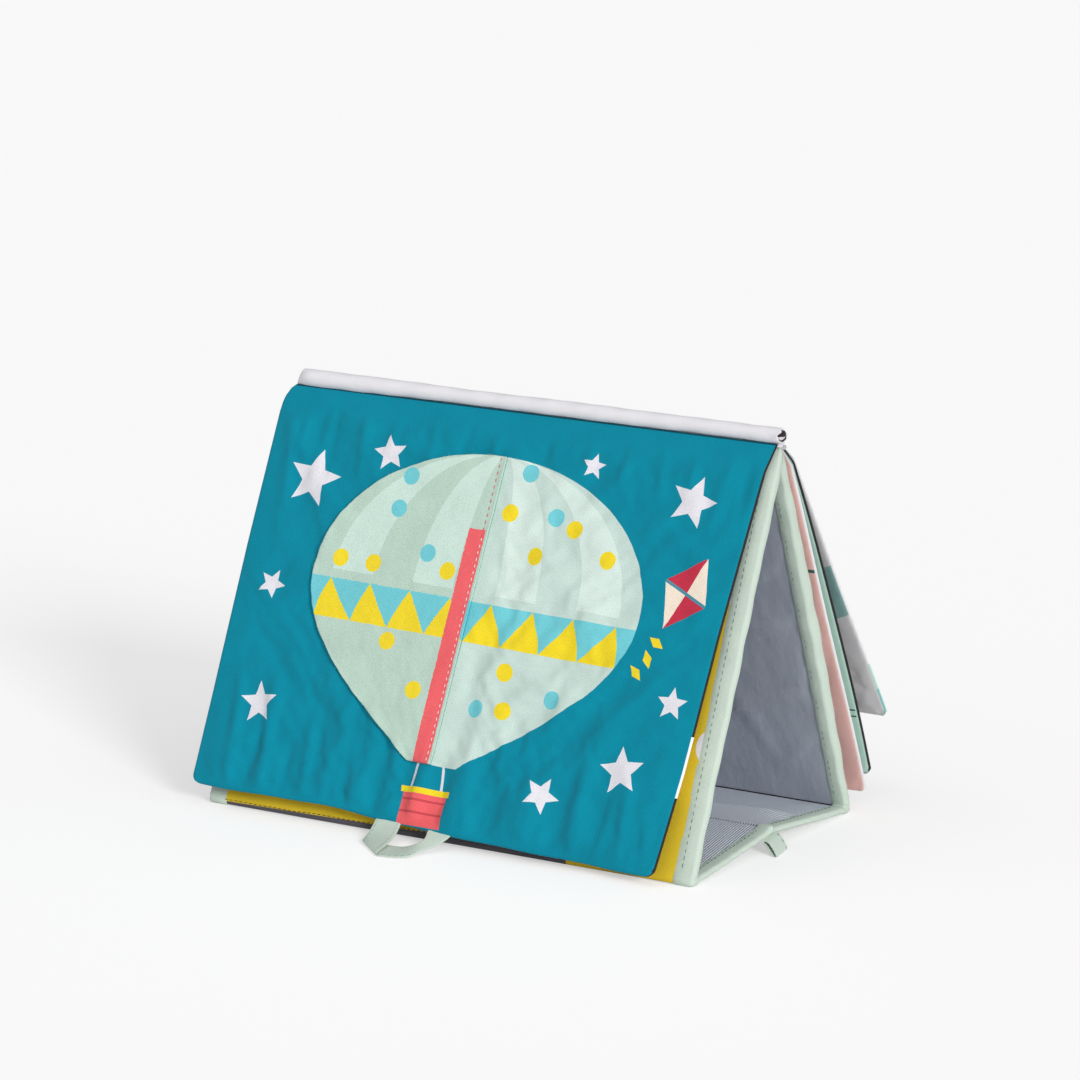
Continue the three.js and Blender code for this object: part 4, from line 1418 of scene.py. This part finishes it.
def make_rear_page(index, name, fan, length, near, far, wide, hollow):
    """A rear page, counted from the wall outwards. fan is its angle off the wall in degrees, wide its
    half-widths at the top and the bottom, and hollow how far its middle bows, in millimetres."""
    turn = lean + math.radians(fan)
    out = page_clear + page_edge / 2 + index * (page_clear + page_edge) - roll_rise * math.sin(lean)
    high = pad_drop * math.cos(math.radians(fan)) + out * math.sin(math.radians(fan))
    offset = out * math.cos(math.radians(fan)) - pad_drop * math.sin(math.radians(fan))
    root = np.array([1.15 + index * 0.9, -0.1 + index * 0.85 - roll_rise])
    root_n = root[0] * math.cos(turn) + root[1] * math.sin(turn)
    low = root[0] * math.sin(turn) - root[1] * math.cos(turn)

    def mid(x, drop):
        t = np.clip((drop - low) / (high - low), 0, 1)
        sag = np.clip((drop - 60) / 140, 0, 1) ** 2
        bow = hollow * np.sin(math.pi * np.clip((drop - high) / (length - high), 0, 1))
        wave = 0.5 * np.sin(x / (17.0 + 3 * index) + index)
        return root_n + (offset + page_hang - root_n) * t + sag * wave - bow

    def side(drop):
        t = np.clip((drop - low) / (high - low), 0, 1)
        return np.interp(drop, [16, 200], wide) - 2.0 * (1 - t) + 0.25 * np.sin(drop / 21)

    def bottom(x):
        return length - 0.2 + 0.3 * np.sin(x / (8.0 + index))

    spread = range(-112, 120, 19)
    page = Page(
        seed=2 + index, left=lambda drop: -side(drop), right=side, bottom=bottom, mid=mid, turn=turn,
        start=low, pad_top=high, calm=lambda x, drop: 1.0, crease=0.7, ripple_height=0.14,
        folds=(
            [(a, length - 2, a + 4, length - 34, 3.0, 0.35 * (-1) ** k) for k, a in enumerate(spread)],
            [(a + 6, length - 2, a + 3, length - 40, 3.2, 0.4 * (-1) ** k) for k, a in enumerate(spread)],
        ),
    )
    return make_page(
        f"{name}_pad", name, ("inner_cloth", "wadding", "outer_cloth", "hinge_strip"),
        page, paint[near], paint[far],
        lambda x, drop: (page.rim(x, drop) < 1.2) & (drop > low + 1.5),
    )


rear_pages = [
    make_rear_page(
        0, "pink_page", fan=4.0, length=199.5, near="pink", far="dotted",
        wide=(125.2, 124.0), hollow=-0.8,
    ),
    make_rear_page(
        1, "mint_page", fan=5.4, length=195.0, near="mint_page", far="rings",
        wide=(124.9, 124.0), hollow=-3.2,
    ),
    make_rear_page(
        2, "white_page", fan=13.4, length=185.0, near="pale", far="outside",
        wide=(123.4, 122.6), hollow=-0.4,
    ),
]
print("rear pages:", len(rear_pages))

# %% [markdown]
# ## The felt flap
# Felt has no weave and no hem: it is a thick mat of fibres, cut clean, that stays nearly flat. The flap
# lies on the page's crown and lifts from it a little at its free edge.


# %% The flap
def flap_frame(x, n, down):
    """Row-frame points of the flap, from its own corner: x along the page, n off it, down its seam."""
    c, s = math.cos(flap_lean), math.sin(flap_lean)
    page_x = flap_x + x * c - down * s
    page_drop = flap_drop + down * c + x * s
    base = front_mid(page_x, page_drop) - teal_page.skin(page_x, page_drop, 0)
    return page_place(front_turn, page_x, base + n, page_drop)


def make_flap():
    v = eased(84, 0.0, flap_height, edge=5.0, finest=0.22)
    u = 1 - eased(52, 0.0, 1.0, edge=0.06, finest=0.003)
    grid_u, grid_v = np.meshgrid(u, v)
    random = np.random.default_rng(8)
    ragged = 0.12 * np.interp(v, np.linspace(0, flap_height, 180), random.uniform(-1, 1, 180))
    reach = np.maximum(balloon_half_width(v) + ragged, 0.25)
    x = -reach[:, None] * grid_u
    edge = np.minimum(reach[:, None] * (1 - grid_u), np.minimum(grid_v, flap_height - grid_v))
    edge = np.maximum(edge, 0)
    seam = abs(x)
    round_off = np.sqrt(np.clip(1 - (1 - np.clip(edge / 0.7, 0, 1)) ** 2, 0, 1))
    lift = 0.5 * np.exp(-edge / 9.0) * np.clip(seam / 20, 0, 1) + 0.12 * ripple(x, grid_v, 52, 40, 1.0)
    lift -= 0.2 * np.exp(-(((seam - 2.2) / 1.6) ** 2))
    base = -0.3 - np.clip(lift, -0.2, 0.9)
    outer = flap_frame(x, base - flap_thick * (0.45 + 0.55 * round_off), grid_v)
    inner = flap_frame(x, base - flap_thick * 0.45 * (1 - round_off), grid_v)
    piece = slab("felt_flap_sheet", outer, inner, np.stack([x, grid_v], -1), [paint["felt"]], sharp=70)
    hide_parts("felt_flap")
    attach(piece, "felt_flap")
    float(np.trapz(balloon_half_width(v), v)) * MM * MM
    return piece


flap = make_flap()
print("flap faces:", len(flap.data.polygons))

# %% [markdown]
# ## Ribbons
# The loop under the front page is one ribbon. Its left corner is a real fold: the ribbon turns over on a
# slanting line and lies on itself. Its right corner is a soft turn. The tab under the crease is a short
# end of the same ribbon, doubled back.


# %% The loop and the tab
def ribbon(name, middle, across, thick, body, node):
    """A ribbon from its middle line and its half-width vectors, point for point."""
    middle, across = np.array(middle, float), np.array(across, float)
    share = np.array([-1, -0.94, -0.8, -0.4, 0, 0.4, 0.8, 0.94, 1])
    along = np.gradient(middle, axis=0)
    normal = np.cross(along, across)
    normal /= np.linalg.norm(normal, axis=1)[:, None]
    surface = middle[:, None] + across[:, None] * share[None, :, None]
    swell = thick * 0.5 * np.array([0.55, 0.85, 1.0, 0.92, 0.9, 0.92, 1.0, 0.85, 0.55])[None, :, None]
    front = surface + normal[:, None] * swell
    back = surface - normal[:, None] * swell
    for skin in (front, back):
        skin[..., 2] = np.maximum(skin[..., 2], 0.06)
    run = np.concatenate([[0], np.cumsum(np.linalg.norm(np.diff(middle, axis=0), axis=1))])
    uv = np.stack(np.broadcast_arrays(share[None] * 6.5, run[:, None]), -1)
    piece = slab(name, front, back, uv, [paint["mint"]])
    if node:
        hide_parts(node)
    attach(piece, body)
    return piece


def smooth_line(keys, count):
    """Points on a smooth curve through key points, evenly spread over the keys."""
    keys = np.array(keys, float)
    t = np.linspace(0, len(keys) - 1, count)
    before = np.vstack([2 * keys[0] - keys[1], keys, 2 * keys[-1] - keys[-2]])
    i = np.minimum(t.astype(int), len(keys) - 2)
    f = (t - i)[:, None]
    p0, p1, p2, p3 = (before[i + k] for k in range(4))
    square, cube = 2 * p0 - 5 * p1 + 4 * p2 - p3, 3 * p1 - p0 - 3 * p2 + p3
    return 0.5 * (2 * p1 + (p2 - p0) * f + square * f**2 + cube * f**3)


def make_loop():
    """The left leg folds square into the cross part, which turns softly into the right leg. The keys
    are places of the ribbon's back and front edges, from the left end to the right."""
    keys = np.array(
        [
            [(-31.7, -6.9, 7.7), (-18.7, -6.9, 7.9)], [(-31.5, -9.6, 5.6), (-18.2, -9.6, 5.8)],
            [(-31.1, -13.4, 3.5), (-17.3, -14.8, 3.5)], [(-30.7, -17.2, 2.1), (-16.2, -21.9, 2.1)],
            [(-30.4, -19.3, 1.5), (-14.9, -30.6, 1.4)], [(-30.2, -19.8, 1.0), (-14.4, -33.4, 0.95)],
            [(-27.0, -19.4, 0.5), (-13.7, -34.0, 0.4)], [(-16.0, -18.6, 0.6), (-12.0, -33.8, 0.4)],
            [(-10.5, -18.3, 0.9), (-6.2, -32.6, 0.4)], [(-6.5, -18.8, 2.1), (-0.8, -29.4, 0.7)],
            [(-3.0, -17.4, 3.6), (0.8, -22.6, 1.6)], [(-1.9, -14.2, 5.0), (3.6, -17.2, 2.6)],
            [(-3.0, -10.2, 6.6), (6.8, -11.4, 4.8)], [(-4.0, -6.9, 7.9), (8.6, -6.9, 7.6)],
        ]
    )
    edges = smooth_line(keys.reshape(len(keys), 6), 130).reshape(-1, 2, 3)
    middle, across = edges.mean(1), (edges[:, 1] - edges[:, 0]) / 2
    piece = ribbon("ribbon_loop_tape", middle, across, 0.7, "ribbon_loop", "ribbon_loop")
    left_leg, cross_part = slice(4, 44), slice(62, 96)
    seams = (left_leg, -0.8), (left_leg, 0.78), (cross_part, 0.84)
    return piece, [middle[part] + off * across[part] for part, off in seams]


def make_tab():
    """The tab droops from under the crease to the floor and doubles back on itself."""
    top = base_at(base_half, 0)[1]
    keys = np.array(
        [
            (-1.5, -2.8, top - 0.6), (1.2, -3.0, top - 1.2), (3.9, -3.8, 3.7), (5.7, -4.6, 1.9),
            (6.3, -4.8, 0.95), (5.6, -4.8, 0.5), (3.4, -4.2, 1.5), (0.8, -3.4, top - 3.4),
            (-1.5, -2.8, top - 1.7),
        ]
    ) + np.array([half_length, ridge_y, 0])
    across = [(-0.8, 6.3, 0.5)] * len(keys)
    middle, across = smooth_line(keys, 60), smooth_line(across, 60)
    piece = ribbon("crease_tab_tape", middle, across, 0.6, "base_front", "crease_tab")
    return piece, [middle[8:30] + 0.75 * across[8:30]]


(loop, loop_seams), (tab, tab_seams) = make_loop(), make_tab()
print("ribbons:", loop.name, tab.name)

# %% [markdown]
# ## Stitches
# The machine stitches are hundreds of short threads at an even step along a seam, so Geometry Nodes
# make them: a line is resampled to the step, and a small bead of thread is set at each point, turned
# along the line. The result is made a plain mesh, one for each body that carries a seam.


# %% The stitch tree
def stitch_tree():
    tree = bpy.data.node_groups.new("stitches", "GeometryNodeTree")
    face = tree.interface
    face.new_socket("Geometry", in_out="INPUT", socket_type="NodeSocketGeometry")
    for label, value in (("Step", 0.0032), ("Stitch length", 0.0021), ("Thread", 0.0002)):
        face.new_socket(label, in_out="INPUT", socket_type="NodeSocketFloat").default_value = value
    face.new_socket("Material", in_out="INPUT", socket_type="NodeSocketMaterial")
    face.new_socket("Geometry", in_out="OUTPUT", socket_type="NodeSocketGeometry")
    new, link = tree.nodes.new, tree.links.new
    given, made = new("NodeGroupInput"), new("NodeGroupOutput")
    curve, spread = new("GeometryNodeMeshToCurve"), new("GeometryNodeResampleCurve")
    put = new("GeometryNodeInstanceOnPoints")
    spread.mode = "LENGTH"
    bead, shape = new("GeometryNodeMeshUVSphere"), new("GeometryNodeTransform")
    bead.inputs["Segments"].default_value = 6
    bead.inputs["Rings"].default_value = 4
    bead.inputs["Radius"].default_value = 1.0
    half, size = new("ShaderNodeMath"), new("ShaderNodeCombineXYZ")
    half.operation = "MULTIPLY"
    half.inputs[1].default_value = 0.5
    tangent, turn = new("GeometryNodeInputTangent"), new("FunctionNodeAlignRotationToVector")
    turn.axis = "X"
    whole, dye = new("GeometryNodeRealizeInstances"), new("GeometryNodeSetMaterial")
    link(given.outputs["Geometry"], curve.inputs[0])
    link(curve.outputs[0], spread.inputs["Curve"])
    link(given.outputs["Step"], spread.inputs["Length"])
    link(given.outputs["Stitch length"], half.inputs[0])
    link(half.outputs[0], size.inputs[0])
    link(given.outputs["Thread"], size.inputs[1])
    link(given.outputs["Thread"], size.inputs[2])
    link(bead.outputs["Mesh"], shape.inputs["Geometry"])
    link(size.outputs[0], shape.inputs["Scale"])
    link(spread.outputs[0], put.inputs["Points"])
    link(shape.outputs[0], put.inputs["Instance"])
    link(tangent.outputs[0], turn.inputs["Vector"])
    link(turn.outputs[0], put.inputs["Rotation"])
    link(put.outputs[0], whole.inputs[0])
    link(whole.outputs[0], dye.inputs["Geometry"])
    link(given.outputs["Material"], dye.inputs["Material"])
    link(dye.outputs[0], made.inputs[0])
    return tree


stitches = stitch_tree()


def grained_material(name, dark, light, scale, relief=None):
    """A plain finish: fine noise mixes two tones, and may raise a relief of some millimetres."""
    material = bpy.data.materials.new(name)
    material.use_nodes = True
    tree = material.node_tree
    place, grain = tree.nodes.new("ShaderNodeTexCoord"), tree.nodes.new("ShaderNodeTexNoise")
    grain.inputs["Scale"].default_value = scale
    tone = tree.nodes.new("ShaderNodeMix")
    tone.data_type = "RGBA"
    tone.inputs[6].default_value, tone.inputs[7].default_value = dark, light
    surface = tree.nodes["Principled BSDF"]
    surface.inputs["Roughness"].default_value = 0.6
    tree.links.new(place.outputs["Object"], grain.inputs["Vector"])
    tree.links.new(grain.outputs[0], tone.inputs[0])
    tree.links.new(tone.outputs[2], surface.inputs["Base Color"])
    if relief:
        bump = tree.nodes.new("ShaderNodeBump")
        bump.inputs["Distance"].default_value = relief * MM
        tree.links.new(grain.outputs[0], bump.inputs["Height"])
        tree.links.new(bump.outputs[0], surface.inputs["Normal"])
    return material


def thread_material(name, code):
    shaded = [0.8 * part for part in linear(code)[:3]] + [1]
    return grained_material(name, shaded, linear(code), scale=3000, relief=0.1)


def grow_on(name, guide, tree, inputs, body):
    """Runs a tree on a guide, keeps what it makes as a plain mesh on a body, and drops the guide."""
    modifier = guide.modifiers.new(tree.name, "NODES")
    modifier.node_group = tree
    keys = {item.name: item.identifier for item in tree.interface.items_tree if item.in_out == "INPUT"}
    for label, value in inputs.items():
        modifier[keys[label]] = value
    bpy.context.view_layer.update()
    seen = guide.evaluated_get(bpy.context.evaluated_depsgraph_get())
    made = bpy.data.meshes.new_from_object(seen)
    made.name = name
    piece = bpy.data.objects.new(name, made)
    scene.collection.objects.link(piece)
    bpy.data.objects.remove(guide)
    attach(piece, body)
    return piece


def sew(name, lines, body, material, step=3.2, length=2.1, thread=0.2):
    """Stitches along polylines in millimetres, as one mesh on one body."""
    points, edges = [], []
    for line in lines:
        first = len(points)
        points.extend((np.array(line) * MM).tolist())
        edges.extend((first + i, first + i + 1) for i in range(len(line) - 1))
    mesh = bpy.data.meshes.new(name + "_line")
    mesh.from_pydata(points, edges, [])
    guide = bpy.data.objects.new(name + "_line", mesh)
    scene.collection.objects.link(guide)
    inputs = {
        "Step": step * MM, "Stitch length": length * MM, "Thread": thread * MM, "Material": material,
    }
    piece = grow_on(name, guide, stitches, inputs, body)
    piece.data.shade_smooth()
    return piece


# %% [markdown]
# Felt is a mat of fibres, and a few stand off it. A second tree scatters them: short thin cones on
# random points of the felt, each with its own turn and size.


# %% The fibre tree
def fibre_tree():
    tree = bpy.data.node_groups.new("fibres", "GeometryNodeTree")
    face = tree.interface
    face.new_socket("Geometry", in_out="INPUT", socket_type="NodeSocketGeometry")
    face.new_socket("Density", in_out="INPUT", socket_type="NodeSocketFloat").default_value = 1.0
    face.new_socket("Material", in_out="INPUT", socket_type="NodeSocketMaterial")
    face.new_socket("Geometry", in_out="OUTPUT", socket_type="NodeSocketGeometry")
    new, link = tree.nodes.new, tree.links.new
    given, made = new("NodeGroupInput"), new("NodeGroupOutput")
    scatter, put = new("GeometryNodeDistributePointsOnFaces"), new("GeometryNodeInstanceOnPoints")
    scatter.inputs["Seed"].default_value = 4
    fibre = new("GeometryNodeMeshCone")
    fibre.inputs["Vertices"].default_value = 3
    fibre.inputs["Radius Top"].default_value = 0.00002
    fibre.inputs["Radius Bottom"].default_value = 0.00004
    fibre.inputs["Depth"].default_value = 0.0011
    turn, tilt = new("FunctionNodeRotateRotation"), new("FunctionNodeRandomValue")
    size = new("FunctionNodeRandomValue")
    tilt.data_type = "FLOAT_VECTOR"
    tilt.inputs["Min"].default_value = (-1.2, -1.2, 0.0)
    tilt.inputs["Max"].default_value = (1.2, 1.2, 6.28)
    tilt.inputs["Seed"].default_value = 7
    euler = new("FunctionNodeEulerToRotation")
    size.inputs[2].default_value = 0.4
    size.inputs[3].default_value = 1.0
    size.inputs["Seed"].default_value = 9
    whole, dye = new("GeometryNodeRealizeInstances"), new("GeometryNodeSetMaterial")
    link(given.outputs["Geometry"], scatter.inputs["Mesh"])
    link(given.outputs["Density"], scatter.inputs["Density"])
    link(scatter.outputs["Points"], put.inputs["Points"])
    link(fibre.outputs["Mesh"], put.inputs["Instance"])
    link(scatter.outputs["Rotation"], turn.inputs["Rotation"])
    link(tilt.outputs[0], euler.inputs[0])
    link(euler.outputs[0], turn.inputs["Rotate By"])
    link(turn.outputs[0], put.inputs["Rotation"])
    link(size.outputs[1], put.inputs["Scale"])
    link(put.outputs[0], whole.inputs[0])
    link(whole.outputs[0], dye.inputs["Geometry"])
    link(given.outputs["Material"], dye.inputs["Material"])
    link(dye.outputs[0], made.inputs[0])
    return tree


def fuzz(name, base, density, body, material):
    """Loose fibres over a piece, so many to the square metre, as one mesh on its body."""
    guide = base.copy()
    scene.collection.objects.link(guide)
    inputs = {"Density": float(density), "Material": material}
    return grow_on(name, guide, fibre_tree(), inputs, body)


# %% Sew the bindings, the flap and the foot
threads = {
    "green": thread_material("green_thread", "5F8A7A"),
    "mint": thread_material("mint_thread", "93B5A5"),
    "coral": thread_material("coral_thread", "E2566A"),
    "white": thread_material("white_thread", "F4F1F0"),
    "dark": thread_material("dark_thread", "2F2D2F"),
}


def straight(x, yz):
    """A line of points at one x through places in Y and Z."""
    return np.concatenate([np.full((len(yz), 1), x), yz], 1)


for half in ("front", "rear"):
    wall_lines, floor_lines = [], []
    wall_outside = on_half(half, bowed(half, np.linspace(wall_slant - 3, 9, 60), -0.3))
    wall_inside = on_half(half, wall_at(np.linspace(176, 13, 60), wall_thick + 0.28))
    floor_outside = on_half(half, base_at(np.linspace(9, base_half - 9, 30), -0.2))
    floor_inside = on_half(half, base_at(np.linspace(13, 66, 30), base_thick + 0.3))
    for side in (-1, 1):
        outside_x, inside_x = side * (half_length - 6.4), side * (half_length - 5.0)
        wall_lines += [straight(outside_x, wall_outside), straight(inside_x, wall_inside)]
        floor_lines += [straight(outside_x, floor_outside), straight(inside_x, floor_inside)]
    sew(f"{half}_wall_stitches", wall_lines, f"{half}_wall", threads["green"])
    seams = sew(f"base_{half}_stitches", floor_lines, f"base_{half}", threads["green"])
    press(seams, half, base_at, base_thick / 2)

seam_down = np.linspace(1.5, flap_height - 2, 90)
flap_line = flap_frame(np.full(90, -2.2), -0.3 - flap_thick + 0.1, seam_down)
sew(
    "flap_seam_upper", [flap_line[:24]], "felt_flap", threads["coral"],
    step=3.0, length=2.0, thread=0.22,
)
sew(
    "flap_seam_lower", [flap_line[24:]], "felt_flap", threads["white"],
    step=3.0, length=1.9, thread=0.2,
)
xs = np.linspace(-half_length + 10, 60, 160)
foot_ups = np.maximum(foot_edge + foot_slope * xs + 0.3 + 0.2 * np.sin(xs / 6.0), 2.9)
foot_line = np.concatenate([xs[:, None], wall_at(foot_ups, np.full(160, -0.3))], 1)
loop_seams = [line + np.array([0, 0, 0.42]) for line in loop_seams]
sew(
    "loop_stitches", loop_seams, "ribbon_loop", threads["mint"],
    step=2.6, length=1.8, thread=0.16,
)
tab_seams = [line + np.array([0.2, 0, 0.36]) for line in tab_seams]
sew(
    "tab_stitches", tab_seams, "base_front", threads["green"],
    step=2.6, length=1.8, thread=0.16,
)
sew(
    "foot_seam", [foot_line], "front_wall", threads["dark"],
    step=2.6, length=2.1, thread=0.16,
)
felt_fibre = thread_material("felt_fibre", "D3E4DA")
fibres = fuzz("flap_fibres", flap, 220000.0, "felt_flap", felt_fibre)
print("threads:", len(threads), "fibre faces:", len(fibres.data.polygons))

# %% [markdown]
# ## The stiffeners
# The sheets inside the walls and the floor keep their solids and get a plain plastic finish with a
# faint grain.


# %% Finish the stiffeners
board = grained_material("stiffener_plastic", linear("3E3F44"), linear("4B4C52"), scale=220)
for name in ("front_wall_board", "rear_wall_board", "base_front_board", "base_rear_board"):
    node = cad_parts[name]
    node.data.materials.clear()
    node.data.materials.append(board)

# %% [markdown]
# ## Finish

# %% Finish
scene.view_settings.view_transform = "Standard"
